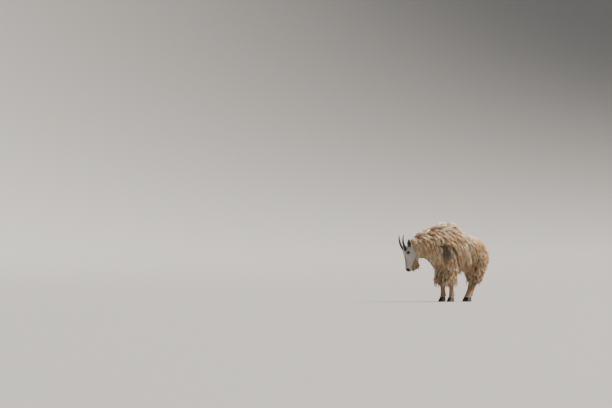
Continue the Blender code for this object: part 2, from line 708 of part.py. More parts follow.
def mouth_cutter():
    """The room of the mouth's line: a thin wedge that follows the lips from one corner round to the other."""
    corner_along, front_along = 0.168, 0.236
    line_back, line_front = -0.020, -0.008  # where the line lies, from the jaw side of the middle
    steps, deep, proud, half = 7, 0.0045 * SIZE, 0.006 * SIZE, 0.0011 * SIZE
    spots = []
    for side, order in (("left", range(steps + 1)), ("right", range(steps, -1, -1))):
        for k in order:
            t = k / steps
            along = corner_along + (front_along - corner_along) * t**0.8
            low = line_back + (line_front - line_back) * t
            row = smooth(HEAD_LOFT.rows, nearest_place(along))
            wide = row[3] * math.sqrt(max(0, 1 - (low / row[5]) ** 2))
            if t == 1:
                wide = 0.006
            middle = HEAD_LOFT.place(along - 0.02, 0, low, side)
            spots.append((HEAD_LOFT.place(along, wide, low, side), middle))
    loops = []
    for spot, middle in spots:
        out = (spot - middle).normalized()
        above = HEAD_LOFT.brow * half
        loops.append([spot - out * deep, spot + out * proud + above * 1.8, spot + out * proud - above * 1.8])
    return mesh_from_loops("mouth", loops)


def head_along(place):
    return smooth([(row[0],) for row in HEAD], place)[0]


def nostril_cutter(side):
    """The slit of one nostril, a long dent that curves towards the lip."""
    centre = HEAD_LOFT.place(0.221, 0.0215, 0.016, side)
    inward = HEAD_LOFT.direction(-0.45, -0.80, -0.25, side)
    slit = HEAD_LOFT.direction(0.55, -0.10, 0.75, side)
    slit = (slit - inward * inward.dot(slit)).normalized()
    reaches = [slit * 0.0095 * SIZE, inward.cross(slit) * 0.0042 * SIZE, inward * 0.0085 * SIZE]
    return ellipsoid("nostril", centre, reaches, 8, 6)


def head_core():
    return HEAD_LOFT.mesh("head", 0, HEAD_LOFT.last, 19, 20, 1.0)


def neck_core():
    return TRUNK_LOFT.mesh("neck", NECK_JOIN, TRUNK_LOFT.last, 8, 18, CORE_SHARE, slide=(TOUCH / 2, 0))


def torso_core():
    """The trunk up to the neck, with the tops of the four legs."""
    trunk = TRUNK_LOFT.mesh("torso", 0, NECK_JOIN, 13, 20, CORE_SHARE, slide=(0, -TOUCH / 2))
    tops = [
        loft.mesh("top", 0, LEG_JOIN, 5, 12, CORE_SHARE, slide=(0, -TOUCH / 2)) for loft in LEG_LOFTS.values()
    ]
    return combine(trunk, tops, "UNION")


def leg_share(loft):
    """The core follows its share of the long hair, and takes in the short coat below it."""
    hem = next(k for k, row in enumerate(loft.rows) if row[7] < SHORT_COAT)
    return lambda place: CORE_SHARE + (1 - CORE_SHARE) * min(max((place - hem + 1) / 0.8, 0), 1)


def dewclaw(loft, aside):
    """One of the two small claws behind the fetlock."""
    place = place_at_height(loft, 0.088 * SIZE)
    spot = loft.centre(place) + Vector((0.024, aside * 0.013, 0.004)) * SIZE
    heading = Vector((0.62, aside * 0.15, -0.75)).normalized()
    spots = [spot, spot + heading * 0.012 * SIZE, spot + heading * 0.024 * SIZE]
    return tube("dewclaw", spots, [0.0078 * SIZE, 0.0072 * SIZE, 0.003 * SIZE], 6, Vector((0, 1, 0)))


def leg_core(pair, side, name):
    loft = LEG_LOFTS[pair, side]
    core = loft.mesh(name, LEG_JOIN, loft.last, 16, 12, leg_share(loft), slide=(TOUCH / 2, -TOUCH / 2))
    return combine(core, [dewclaw(loft, 1), dewclaw(loft, -1)], "UNION")


def hoof(pair, side, name):
    """A cloven hoof: one horny body from its top rim to a flat sole, split up the middle by a wedge."""
    loft = LEG_LOFTS[pair, side]
    row = [v * SIZE for v in loft.rows[-1]]
    top = Vector((row[0], row[1], HOOF_TOP - TOUCH / 2))
    # height | shift forward, reach to side, front, back
    shape = [(1.0, 0.0, row[3] + row[6], row[4] + row[7], row[5] + row[8]),
             (0.72, 0.004, 0.0345, 0.041, 0.036),
             (0.38, 0.008, 0.0390, 0.050, 0.038),
             (0.10, 0.011, 0.0415, 0.056, 0.037),
             (0.0, 0.012, 0.0400, 0.055, 0.035)]
    loops = []
    for rise, shift, wide, front, back in shape:
        centre = Vector((top.x - shift * SIZE, top.y, top.z * rise))
        loops.append(
            [
                centre
                + Vector((-(front if math.cos(a) > 0 else back) * math.cos(a), -wide * math.sin(a), 0))
                for a in (math.tau * k / 16 for k in range(16))
            ]
        )
    body = mesh_from_loops(name, loops)
    wedge = bmesh.new()
    low, high = -0.01 * SIZE, 0.040 * SIZE
    front, back = top.x - 0.09 * SIZE, top.x + 0.045 * SIZE
    corners = [(front, -0.0062, low), (front, 0.0062, low), (back, 0.0018, low), (back, -0.0018, low)]
    rims = [(front, -0.002, high), (front, 0.002, high), (back, 0.0008, high), (back, -0.0008, high)]
    rings = [[wedge.verts.new((x, top.y + y * SIZE, z)) for x, y, z in ring] for ring in (corners, rims)]
    for k in range(4):
        n = (k + 1) % 4
        wedge.faces.new((rings[0][k], rings[0][n], rings[1][n], rings[1][k]))
    wedge.faces.new(rings[0])
    wedge.faces.new(rings[1])
    return combine(body, [finished("wedge", wedge)], "DIFFERENCE")


def tail_core():
    return TAIL_LOFT.mesh("tail", 0, TAIL_LOFT.last, 7, 10, CORE_SHARE)


def tail_coat(core, rng):
    """A few hanging locks round the tail."""
    search = tree_of([core])
    locks = []
    for place, turns in ((0.9, (40, 320)), (1.6, (100, 260, 0)), (2.3, (60, 180, 300))):
        for degrees in turns:
            turn = math.radians(degrees + rng.uniform(-12, 12))
            centre = TAIL_LOFT.centre(place)
            outside = TAIL_LOFT.point(place, turn, 3.0)
            root, normal, _, _ = search.ray_cast(outside, (centre - outside).normalized())
            if root is None:
                continue
            lie = DOWN + normal * 0.3
            line = lock_line(
                search, root, normal, lie, 0.085 * SIZE, 0.016 * SIZE, 0.25, root_depth=0.008 * SIZE
            )
            locks.append(Lock(*line, 0.042 * SIZE, 0.010 * SIZE))
    return locks


def ball(radius):
    return [v * radius for v in Matrix.Identity(3)]


MATERIALS = {
    "coat": ((0.80, 0.68, 0.52), 0.9),
    "face": ((0.74, 0.70, 0.64), 0.85),
    "leg": ((0.62, 0.50, 0.37), 0.85),
    "horn": ((0.035, 0.032, 0.034), 0.4),
    "eye": ((0.03, 0.022, 0.015), 0.08),
    "hoof": ((0.06, 0.05, 0.045), 0.5),
}


def material(slot):
    """The plain finish of a slot, made once."""
    found = bpy.data.materials.get(slot)
    if found:
        return found
    colour, roughness = MATERIALS[slot]
    made = bpy.data.materials.new(slot)
    made.use_nodes = True
    shader = made.node_tree.nodes["Principled BSDF"]
    shader.inputs["Base Color"].default_value = (*colour, 1)
    shader.inputs["Roughness"].default_value = roughness
    return made


def beard(core, rng):
    """The locks of the beard under the jaw, and of the ruff behind its corner."""
    flesh = tree_of([core])
    locks = []
    for along, turns, length, width in BEARD_ROWS:
        place = nearest_place(along)
        for degrees in turns:
            turn = math.radians(degrees + rng.uniform(-4, 4))
            root = HEAD_LOFT.point(place, turn, 1.0)
            normal = (root - HEAD_LOFT.centre(place)).normalized()
            lie = DOWN - HEAD_LOFT.brow * 0.7 + normal * 0.1
            reach = length * SIZE * rng.uniform(0.88, 1.12)
            line = lock_line(flesh, root, normal, lie, reach, 0.026 * SIZE, 0.25, root_depth=0.010 * SIZE)
            locks.append(Lock(*line, width * SIZE, 0.010 * SIZE))
    return locks


def clothe(node, locks):
    """Fuses a node's locks to its core."""
    keep_largest(combine(node, [lock.solid() for lock in locks], "UNION"))
    return keep_largest(thinned(node, KEPT))


def larger(obj):
    """A copy of a finished piece, larger all round by the gap."""
    mesh = bmesh.new()
    mesh.from_mesh(obj.data)
    mesh.normal_update()
    steps = [v.normal * SEAT * min(v.calc_shell_factor(), SHARPEST) for v in mesh.verts]
    for vert, step in zip(mesh.verts, steps):
        vert.co += step
    return finished("larger", mesh)


def clear(node, neighbours):
    """Cuts a node clear of its finished neighbours, by each one and by its larger copy."""
    cutters = []
    for neighbour in neighbours:
        same = bpy.data.objects.new("same", neighbour.data.copy())
        bpy.context.scene.collection.objects.link(same)
        cutters += [same, larger(neighbour)]
    return keep_largest(combine(node, cutters, "DIFFERENCE"))


def torso_length(degrees, place):
    """How long the locks of the trunk are: longest on the crest of the shoulders and on the flanks."""
    front = min(max((place - 4.0) / 2.0, 0), 1)
    crest = 0.115 + 0.055 * front
    flank = 0.15 + 0.03 * front
    fringe = 0.125
    if degrees < 90:
        return (crest + (flank - crest) * degrees / 90) * SIZE
    return (flank + (fringe - flank) * (degrees - 90) / 90) * SIZE


def neck_length(_, place):
    """How long the locks of the mane and ruff are: shorter towards the head, at any angle."""
    return (0.155 - 0.012 * (place - NECK_JOIN)) * SIZE


def build():
    """Makes every node of the goat and returns the finish of each."""
    rng = random.Random(SEED)
    sides = ("left", "right")
    slots = {}
    for side in sides:
        eye = ellipsoid(f"eye_{side}", HEAD_LOFT.place(*EYE_PLACE, side), ball(EYE_RADIUS), *EYE_MESH)
        slots[eye.name] = "eye"
        slots[horn(f"horn_{side}", side).name] = "horn"

    head = head_core()
    tufts = beard(head, rng)
    flesh = [lock.solid() for lock in tufts]
    for side in sides:
        middle = HEAD_LOFT.place(*EYE_PLACE, side)
        flesh.append(ellipsoid("mound", middle, ball(EYE_RADIUS + LID_DEPTH), 12, 8))
        flesh += [lid(side, True), lid(side, False)]
    combine(head, flesh, "UNION")
    cutters = [mouth_cutter()]
    for side in sides:
        cutters += [eye_opening(side), nostril_cutter(side), horn("cut", side, TOUCH)]
        middle = HEAD_LOFT.place(*EYE_PLACE, side)
        cutters.append(ellipsoid("cut", middle, ball(EYE_RADIUS + TOUCH), *EYE_MESH))
    keep_largest(combine(head, cutters, "DIFFERENCE"))
    slots["head"] = "face"
    ears = [clear(ear(f"ear_{side}", side), [head]) for side in sides]
    slots.update({leaf.name: "face" for leaf in ears})

    neck = neck_core()
    torso = torso_core()
    tail = tail_core()
    legs = {key: leg_core(*key, f"{key[0]}leg_{key[1]}") for key in LEG_LOFTS}
    flesh = tree_of([neck, torso, *legs.values()])

    end = TRUNK_LOFT.last - 0.6
    mane = coat_rows(
        TRUNK_LOFT, neck, flesh, NECK_JOIN + 0.1, end, NECK_ROWS, neck_length, 0.015 * SIZE, rng
    )
    coat = coat_rows(
        TRUNK_LOFT, torso, flesh, 0.2, NECK_JOIN - 0.2, TORSO_ROWS, torso_length, 0.017 * SIZE, rng
    )
    for loft in LEG_LOFTS.values():
        coat += leg_coat(loft, torso, flesh, HIP_TIERS, 5, HIP_LOCK, rng, outer=True)
    clothe(neck, mane)
    clear(neck, [head, *ears])
    slots["neck"] = "coat"
    clothe(torso, coat)
    clear(torso, [neck])
    slots["torso"] = "coat"
    clothe(tail, tail_coat(tail, rng))
    clear(tail, [torso])
    slots["tail"] = "coat"
    for (pair, side), leg in legs.items():
        loft = LEG_LOFTS[pair, side]
        trousers = leg_coat(loft, leg, flesh, LEG_TIERS[pair], 4, LEG_LOCK, rng)
        clothe(leg, trousers)
        clear(leg, [torso, neck] if pair == "fore" else [torso])
        slots[leg.name] = "leg"
        slots[hoof(pair, side, f"{pair}hoof_{side}").name] = "hoof"
    return slots


def settle(slots):
    """Gives each node its finish, stands the model on the floor and centres it there."""
    objects = [bpy.data.objects[name] for name in slots]
    corners = [v.co for obj in objects for v in obj.data.vertices]
    low = Vector([min(c[k] for c in corners) for k in range(3)])
    high = Vector([max(c[k] for c in corners) for k in range(3)])
    shift = Vector((-(low.x + high.x) / 2, -(low.y + high.y) / 2, -low.z))
    for obj in objects:
        obj.data.transform(Matrix.Translation(shift))
        obj.data.materials.clear()
        obj.data.materials.append(material(slots[obj.name]))
        obj.data.shade_smooth()
        obj.data.set_sharp_from_angle(angle=math.radians(50))
    print("shift", [round(v, 5) for v in shift], "size", [round(v, 4) for v in high - low])


for thing in list(bpy.data.objects):
    bpy.data.objects.remove(thing)
if __name__ == "__main__":
    settle(build())
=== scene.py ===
# %% [markdown]
# # A mountain goat in its moulting coat
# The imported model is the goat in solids: flesh in flat coarse locks, horns, eyes and hooves. This lesson
# dresses it. One smooth skin takes the place of the flesh, and tens of thousands of thin tufts grow from it.
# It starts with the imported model, which stays as it is and says where everything goes.

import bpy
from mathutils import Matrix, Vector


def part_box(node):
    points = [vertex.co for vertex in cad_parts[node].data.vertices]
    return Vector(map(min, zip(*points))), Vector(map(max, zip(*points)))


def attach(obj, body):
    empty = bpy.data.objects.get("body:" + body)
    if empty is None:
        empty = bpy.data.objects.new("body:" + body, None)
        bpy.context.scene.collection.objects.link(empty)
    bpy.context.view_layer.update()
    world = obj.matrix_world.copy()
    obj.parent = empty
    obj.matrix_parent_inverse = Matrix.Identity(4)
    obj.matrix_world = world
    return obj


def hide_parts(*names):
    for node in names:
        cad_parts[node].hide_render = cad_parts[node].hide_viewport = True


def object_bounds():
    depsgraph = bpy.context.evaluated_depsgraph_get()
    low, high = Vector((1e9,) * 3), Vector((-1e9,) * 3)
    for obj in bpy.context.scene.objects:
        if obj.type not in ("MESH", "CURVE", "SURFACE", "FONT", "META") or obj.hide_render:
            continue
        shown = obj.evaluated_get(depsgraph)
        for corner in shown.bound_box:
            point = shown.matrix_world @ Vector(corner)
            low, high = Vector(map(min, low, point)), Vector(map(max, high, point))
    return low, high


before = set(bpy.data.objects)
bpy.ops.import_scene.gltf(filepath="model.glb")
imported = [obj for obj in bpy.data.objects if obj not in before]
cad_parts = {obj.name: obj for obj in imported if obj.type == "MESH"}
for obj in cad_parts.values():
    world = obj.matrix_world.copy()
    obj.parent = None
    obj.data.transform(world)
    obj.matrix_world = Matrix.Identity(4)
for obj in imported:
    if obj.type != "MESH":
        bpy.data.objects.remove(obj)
cad_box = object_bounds()
print(len(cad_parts), "nodes,", [round(v, 3) for v in cad_box[1] - cad_box[0]], "metres")

# %% [markdown]
# ## Small tools for many points at once
# A coat has far too many hairs for a loop over each of them, so places are kept in arrays: one row for each
# point. These few helpers are all the vector maths that the lesson needs. The soft steps are used again and
# again, wherever one thing turns gently into another.

# %% Arrays of vectors
import itertools
import math

import bmesh
import bpy
import numpy as np
from mathutils import Vector
from mathutils.bvhtree import BVHTree
from mathutils.kdtree import KDTree

SEED = 12
rng = np.random.default_rng(SEED)
UP = np.array((0.0, 0.0, 1.0))
DOWN = -UP


def unit(v):
    """Each vector, one unit long."""
    v = np.asarray(v, float)
    return v / np.maximum(np.linalg.norm(v, axis=-1, keepdims=True), 1e-9)


def span(v):
    """How long each vector is."""
    return np.linalg.norm(v, axis=-1)


def dot(a, b):
    """The dot product of each pair, kept as a column."""
    return (a * b).sum(-1, keepdims=True)


def column(x):
    return np.asarray(x, float)[..., None]


arrow = np.array((3.0, 4.0, 0.0))
print("an arrow of 3 across and 4 up is", span(arrow), "long, and its unit is", unit(arrow))

# %% Soft steps
def ramp(x, low, high):
    """0 below low, 1 above high and a soft step between them."""
    t = np.clip((x - low) / (high - low), 0, 1)
    return t * t * (3 - 2 * t)


def fall(x, low, high):
    """1 below low, 0 above high and a soft step between them."""
    return ramp(-x, -high, -low)


def near(points, spot, close, far):
    """1 within close of a spot, 0 beyond far and a soft step between them."""
    return fall(span(points - spot), close, far)


print("a ramp at 0, a quarter, a half and 1:", ramp(np.array((0, 0.25, 0.5, 1)), 0, 1))

# %% Turns and rows
def full_turn(steps):
    """Angles spread evenly over a full turn."""
    return np.arange(steps) / steps * math.tau


def chosen(kept, *arrays):
    """The same rows of each array."""
    return [array[kept] for array in arrays]


print("a full turn in four steps:", full_turn(4).round(2))

# %% [markdown]
# ## The camera
# The photograph looks slightly up at the goat from far away and from its front left. The camera comes first,
# so that every later choice can be seen from the same place. The goat stays small, right of the middle.

# %% Place the camera
CAMERA_PLACE = (-10.8207, -9.0195, 0.10)
CAMERA_YAW, CAMERA_PITCH = math.radians(47.44), math.radians(4.82)
LENS, SENSOR = 62.8, 36.0  # millimetres
FARTHEST = 200.0  # how far the camera sees, past the whole floor

camera_data = bpy.data.cameras.new("camera")
camera_data.lens = LENS
camera_data.sensor_width = SENSOR
camera_data.clip_end = FARTHEST
camera = bpy.data.objects.new("camera", camera_data)
bpy.context.scene.collection.objects.link(camera)
camera.location = CAMERA_PLACE
level = math.cos(CAMERA_PITCH)
looking = Vector((math.cos(CAMERA_YAW) * level, math.sin(CAMERA_YAW) * level, math.sin(CAMERA_PITCH)))
camera.rotation_euler = looking.to_track_quat("-Z", "Y").to_euler()
bpy.context.scene.camera = camera
print("camera", [round(v, 2) for v in camera.location])

# %% [markdown]
# ## The forms under the coat
# The body is a few lofts: smooth tubes through stations that say how far the flesh reaches to each side, and
# how deep the coat is on top. These tables are the ones that the solids were built from, so the skin and the
# tips of the hair end up where the solids have them.

# %% The tables of the trunk and the tail
# x, y, z of the centre | reach to side, up, down | coat to side, up, down | how narrow the top is
TRUNK = [
    (0.418, 0.000, 0.640, 0.050, 0.036, 0.055, 0.026, 0.024, 0.040, 0.0),
    (0.398, 0.000, 0.644, 0.080, 0.062, 0.096, 0.032, 0.026, 0.052, 0.0),
    (0.348, 0.000, 0.666, 0.112, 0.098, 0.132, 0.038, 0.030, 0.064, 0.1),
    (0.270, 0.000, 0.686, 0.140, 0.140, 0.156, 0.046, 0.038, 0.095, 0.2),
    (0.140, 0.000, 0.686, 0.160, 0.160, 0.165, 0.055, 0.048, 0.120, 0.2),
    (0.000, 0.000, 0.684, 0.168, 0.170, 0.178, 0.060, 0.062, 0.120, 0.2),
    (-0.130, 0.000, 0.682, 0.166, 0.196, 0.187, 0.062, 0.104, 0.115, 0.3),
    (-0.260, 0.000, 0.682, 0.156, 0.222, 0.187, 0.060, 0.124, 0.105, 0.4),
    (-0.370, 0.000, 0.690, 0.146, 0.224, 0.182, 0.058, 0.126, 0.110, 0.4),
    (-0.460, 0.004, 0.708, 0.124, 0.198, 0.165, 0.058, 0.124, 0.120, 0.3),
    (-0.550, 0.020, 0.724, 0.104, 0.166, 0.145, 0.058, 0.108, 0.105, 0.3),
    (-0.640, 0.052, 0.728, 0.090, 0.134, 0.126, 0.056, 0.094, 0.055, 0.3),
    (-0.724, 0.090, 0.716, 0.080, 0.108, 0.110, 0.052, 0.076, 0.048, 0.2),
    (-0.800, 0.124, 0.694, 0.068, 0.088, 0.096, 0.040, 0.048, 0.036, 0.1),
    (-0.846, 0.144, 0.682, 0.045, 0.060, 0.066, 0.020, 0.030, 0.020, 0.0),
]
TAIL = [
    (0.392, 0.000, 0.722, 0.026, 0.020, 0.020, 0.020, 0.018, 0.020, 0.0),
    (0.448, 0.000, 0.698, 0.023, 0.017, 0.017, 0.022, 0.022, 0.022, 0.0),
    (0.476, 0.000, 0.652, 0.018, 0.012, 0.013, 0.022, 0.022, 0.022, 0.0),
    (0.482, 0.000, 0.606, 0.010, 0.008, 0.008, 0.020, 0.020, 0.020, 0.0),
]
print(len(TRUNK), "stations for the trunk and neck,", len(TAIL), "for the tail")

# %% The tables of the legs
FORE_FEET = {"left": (-0.325, -0.088), "right": (-0.285, 0.088)}
HIND_FEET = {"left": (0.005, -0.096), "right": (0.205, 0.096)}
HIND_HIP = 0.244  # where a hind foot would stand with its leg as the table has it
LEG_SPREAD = 0.18  # how much further out the shoulder stands than the foot
SPREAD_LOW, SPREAD_HIGH = 0.20, 0.60  # the heights between which it goes out
# height | offset back from the foot, reach to side, front, back | coat to side, front, back
FORE_LEG = [
    (0.740, -0.010, 0.050, 0.080, 0.090, 0.03, 0.03, 0.03),
    (0.650, -0.020, 0.066, 0.095, 0.105, 0.04, 0.04, 0.04),
    (0.560, -0.014, 0.060, 0.072, 0.085, 0.045, 0.050, 0.040),
    (0.480, -0.014, 0.047, 0.052, 0.060, 0.052, 0.070, 0.044),
    (0.400, -0.018, 0.040, 0.043, 0.045, 0.056, 0.080, 0.042),
    (0.320, -0.020, 0.034, 0.037, 0.036, 0.054, 0.082, 0.038),
    (0.270, -0.022, 0.035, 0.040, 0.032, 0.048, 0.074, 0.034),
    (0.222, -0.018, 0.029, 0.030, 0.029, 0.036, 0.056, 0.028),
    (0.205, -0.017, 0.027, 0.028, 0.028, 0.006, 0.007, 0.006),
    (0.150, -0.012, 0.0245, 0.025, 0.027, 0.003, 0.003, 0.003),
    (0.105, -0.009, 0.029, 0.029, 0.034, 0.003, 0.003, 0.003),
    (0.080, -0.012, 0.029, 0.029, 0.031, 0.003, 0.003, 0.003),
    (0.058, -0.018, 0.030, 0.034, 0.031, 0.002, 0.002, 0.002),
]
HIND_LEG = [
    (0.760, 0.030, 0.010, 0.050, 0.020, 0.01, 0.01, 0.01),
    (0.670, 0.035, 0.045, 0.105, 0.070, 0.03, 0.04, 0.02),
    (0.570, 0.040, 0.058, 0.095, 0.084, 0.045, 0.045, 0.035),
    (0.490, 0.055, 0.054, 0.072, 0.070, 0.052, 0.050, 0.040),
    (0.420, 0.074, 0.041, 0.052, 0.050, 0.052, 0.050, 0.032),
    (0.350, 0.092, 0.034, 0.040, 0.042, 0.046, 0.044, 0.028),
    (0.305, 0.094, 0.031, 0.035, 0.036, 0.038, 0.036, 0.024),
    (0.262, 0.084, 0.028, 0.031, 0.031, 0.028, 0.028, 0.020),
    (0.245, 0.079, 0.027, 0.030, 0.030, 0.006, 0.006, 0.006),
    (0.170, 0.052, 0.0245, 0.026, 0.028, 0.003, 0.003, 0.003),
    (0.108, 0.024, 0.029, 0.029, 0.034, 0.003, 0.003, 0.003),
    (0.082, 0.008, 0.029, 0.029, 0.031, 0.003, 0.003, 0.003),
    (0.058, -0.008, 0.030, 0.034, 0.031, 0.002, 0.002, 0.002),
]
LEG_HEM = 8  # the station where the long hair of a leg ends
print("the long hair ends", FORE_LEG[LEG_HEM][0], "m up in front and", HIND_LEG[LEG_HEM][0], "m up behind")

# %% The table of the head
# The head has a frame of its own: it starts between the eyes, runs down to the lips and faces forward.
HEAD_ORIGIN = np.array((-0.877, 0.150, 0.628))
HEAD_TURN = math.radians(20)  # to the goat's right
HEAD_PITCH = math.radians(88)  # how far the face hangs down from level
# distance along | reach to side, to forehead, to jaw | coat to side, to forehead, to jaw
HEAD = [
    (-0.086, 0.024, 0.022, 0.026, 0.006, 0.008, 0.006),
    (-0.076, 0.042, 0.040, 0.044, 0.008, 0.012, 0.008),
    (-0.052, 0.056, 0.064, 0.064, 0.010, 0.016, 0.012),
    (-0.022, 0.060, 0.080, 0.082, 0.008, 0.016, 0.014),
    (0.004, 0.060, 0.077, 0.094, 0.006, 0.007, 0.016),
    (0.034, 0.056, 0.067, 0.098, 0.007, 0.005, 0.018),
    (0.070, 0.046, 0.058, 0.090, 0.008, 0.004, 0.018),
    (0.110, 0.038, 0.050, 0.072, 0.006, 0.003, 0.012),
    (0.150, 0.0335, 0.046, 0.055, 0.005, 0.003, 0.007),
    (0.185, 0.0320, 0.043, 0.047, 0.004, 0.003, 0.005),
    (0.210, 0.0330, 0.041, 0.042, 0.003, 0.002, 0.004),
    (0.228, 0.0290, 0.034, 0.035, 0.002, 0.002, 0.003),
    (0.238, 0.0210, 0.025, 0.026, 0.001, 0.001, 0.002),
    (0.2425, 0.0125, 0.016, 0.016, 0, 0, 0),
    (0.2440, 0.0040, 0.005, 0.005, 0, 0, 0),
]
HEAD_NARROW = 0.12  # how much narrower the head is at the forehead
FACE = np.array((-math.cos(HEAD_TURN), math.sin(HEAD_TURN), 0))
ALONG = FACE * math.cos(HEAD_PITCH) + DOWN * math.sin(HEAD_PITCH)
BROW = FACE * math.sin(HEAD_PITCH) + UP * math.cos(HEAD_PITCH)
RIGHT = np.cross(BROW, ALONG)
RIGHT = RIGHT if RIGHT[1] > 0 else -RIGHT
print("the face looks along", BROW.round(2))

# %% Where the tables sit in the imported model
# The tables have an origin of their own. An eye is a whole ball, so the middle of its box says how far away
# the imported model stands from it.
EYE_PLACE = (0.002, 0.0490, 0.040)  # along, aside, towards the forehead
EYE_RADIUS = 0.0150
EYE_DEPTH = 0.0065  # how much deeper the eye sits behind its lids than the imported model's ball
SIDES = {"left": -1, "right": 1}


def head_direction(along, aside, brow, side):
    return unit(ALONG * along + RIGHT * aside * SIDES[side] + BROW * brow)


def drawn(along, aside, brow, side):
    return HEAD_ORIGIN + ALONG * along + RIGHT * aside * SIDES[side] + BROW * brow


eye_low, eye_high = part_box("eye_left")
OFFSET = np.array((eye_low + eye_high) / 2) - drawn(*EYE_PLACE, "left")
OFFSET[2] = 0
print("the tables are moved by", OFFSET.round(5))


def head_place(along, aside, brow, side):
    """A point given in the head's own frame, on its left or right side."""
    return drawn(along, aside, brow, side) + OFFSET


def eye_look(side):
    return head_direction(0.06, 0.93, 0.26, side)


def eye_middle(side):
    return head_place(*EYE_PLACE, side) - eye_look(side) * EYE_DEPTH


# %% A smooth curve
def curve(rows, place):
    """The rows of a table at fractional places, on a smooth curve through them."""
    rows = np.asarray(rows, float)
    last = len(rows) - 1
    place = np.clip(np.asarray(place, float), 0, last)
    start = np.minimum(place.astype(int), last - 1)
    t = (place - start)[..., None]
    p, q, r, s = (rows[np.clip(start + k, 0, last)] for k in (-1, 0, 1, 2))
    return q + 0.5 * t * (r - p + t * (2 * p - 5 * q + 4 * r - s + t * (3 * (q - r) + s - p)))


print("between its first two stations the trunk's middle is at", curve(TRUNK, 0.5)[:3].round(3))

# %% A loft
class Form:
    """A closed form round a line of stations. Angle 0 is its up side, and 90 degrees its left."""

    def __init__(self, rows, up):
        self.rows = np.array(rows, float)
        self.rows[:, :3] += OFFSET
        self.up = np.asarray(up, float)
        self.last = len(rows) - 1

    def centre(self, place):
        return curve(self.rows[:, :3], place)

    def axes(self, place):
        step = 0.02
        ahead, behind = np.minimum(place + step, self.last), np.maximum(place - step, 0)
        run = unit(self.centre(ahead) - self.centre(behind))
        side = unit(np.cross(self.up, run))
        return side, np.cross(run, side)

    def point(self, place, angle, share):
        """Points of the surface: share 0 is the flesh, share 1 the tips of the coat."""
        row = curve(self.rows, place)
        across, above = self.axes(place)
        c, s = np.cos(angle), np.sin(angle)
        reach = np.where(c > 0, row[..., 4] + share * row[..., 7], row[..., 5] + share * row[..., 8])
        width = (row[..., 3] + share * row[..., 6]) * (1 - row[..., 9] * np.maximum(c, 0) ** 2)
        return self.centre(place) + across * column(width * s) + above * column(reach * c)

    def coat(self, place, angle):
        """How deep the coat is, from the flesh to the tips."""
        row = curve(self.rows, place)
        c, s = np.cos(angle), np.sin(angle)
        return np.hypot(row[..., 6] * s, np.where(c > 0, row[..., 7], row[..., 8]) * c)


trunk, tail = Form(TRUNK, UP), Form(TAIL, UP)
print("the trunk starts at", trunk.centre(0).round(3), "and the tail at", tail.centre(0).round(3))

# %% The legs as forms
class LegForm(Form):
    """A leg from the shoulder or hip down, with level rings. Its up side is the front of the leg."""

    def __init__(self, table, foot, stride=0.0):
        rows = []
        for height, back, side, front, rear, coat_side, coat_front, coat_rear in table:
            rise = min(max((height - SPREAD_LOW) / (SPREAD_HIGH - SPREAD_LOW), 0), 1)
            lean = min(height / SPREAD_HIGH, 1) ** 1.8 * stride
            spot = (foot[0] + back + lean, foot[1] * (1 + LEG_SPREAD * rise), height)
            rows.append((*spot, side, front, rear, coat_side, coat_front, coat_rear, 0))
        super().__init__(rows, (-1, 0, 0))

    def axes(self, place):
        shape = np.shape(place) + (3,)
        return np.broadcast_to((0.0, -1.0, 0.0), shape), np.broadcast_to((-1.0, 0.0, 0.0), shape)


legs = {("fore", side): LegForm(FORE_LEG, FORE_FEET[side]) for side in SIDES}
for side in SIDES:
    legs["hind", side] = LegForm(HIND_LEG, HIND_FEET[side], HIND_HIP - HIND_FEET[side][0])
print("legs:", *(f"{pair} {side}" for pair, side in legs))

# %% [markdown]
# ## The head
# A goat's head is a long wedge, and what makes it a goat is small: a bony brow over an eye that sits on the
# side, a straight bridge, a ridge from the cheek to the muzzle, long slit nostrils, and lips that meet in a
# line which turns up at its corner. Each of these is a soft swelling or hollow, so a list of places with
# their radius and height sculpts a dense loft. Only the eye's opening, the mouth and the nostrils are cut.

# %% Swellings and hollows of the skull
# place (along, aside, towards the forehead), radii along, aside and towards the forehead, height
SKULL = [
    ((-0.014, 0.050, 0.064), (0.020, 0.020, 0.020), 0.006),
    ((0.002, 0.060, 0.038), (0.020, 0.020, 0.020), -0.002),
    ((0.040, 0.050, -0.010), (0.030, 0.030, 0.030), 0.004),
    ((0.028, 0.045, -0.060), (0.032, 0.032, 0.032), 0.007),
    ((0.110, 0.036, 0.025), (0.030, 0.030, 0.030), -0.004),
    ((0.206, 0.027, 0.022), (0.015, 0.015, 0.015), 0.006),
    ((0.205, 0.020, -0.022), (0.016, 0.016, 0.016), 0.004),
]
FACE_FORMS = [
    ((-0.016, 0.052, 0.058), (0.018, 0.012, 0.011), 0.0045),  # the brow over the eye
    ((0.032, 0.050, 0.030), (0.016, 0.012, 0.010), -0.0030),  # the hollow before the eye
    ((0.075, 0.044, -0.002), (0.045, 0.020, 0.007), 0.0030),  # the ridge of the cheek
    ((0.095, 0.000, 0.055), (0.070, 0.010, 0.020), 0.0020),  # the bridge of the nose
    ((0.120, 0.024, 0.036), (0.045, 0.010, 0.010), -0.0022),  # beside the bridge
    ((0.075, 0.040, -0.030), (0.050, 0.020, 0.010), -0.0025),  # under the ridge
    ((0.080, 0.000, -0.092), (0.060, 0.013, 0.020), -0.0040),  # between the jaws
    ((0.185, 0.030, -0.004), (0.018, 0.012, 0.008), 0.0022),  # the fold over the corner of the mouth
    ((0.222, 0.000, -0.032), (0.012, 0.016, 0.010), 0.0030),  # the chin
    ((0.216, 0.026, 0.026), (0.012, 0.008, 0.008), 0.0022),  # the wing of the nostril
    ((0.236, 0.000, 0.008), (0.010, 0.002, 0.012), -0.0022),  # the groove of the upper lip
]
MOUTH_START, MOUTH_END = 0.168, 0.236
MOUTH_BACK, MOUTH_FRONT = -0.020, -0.008  # where the line lies, from the jaw side of the middle


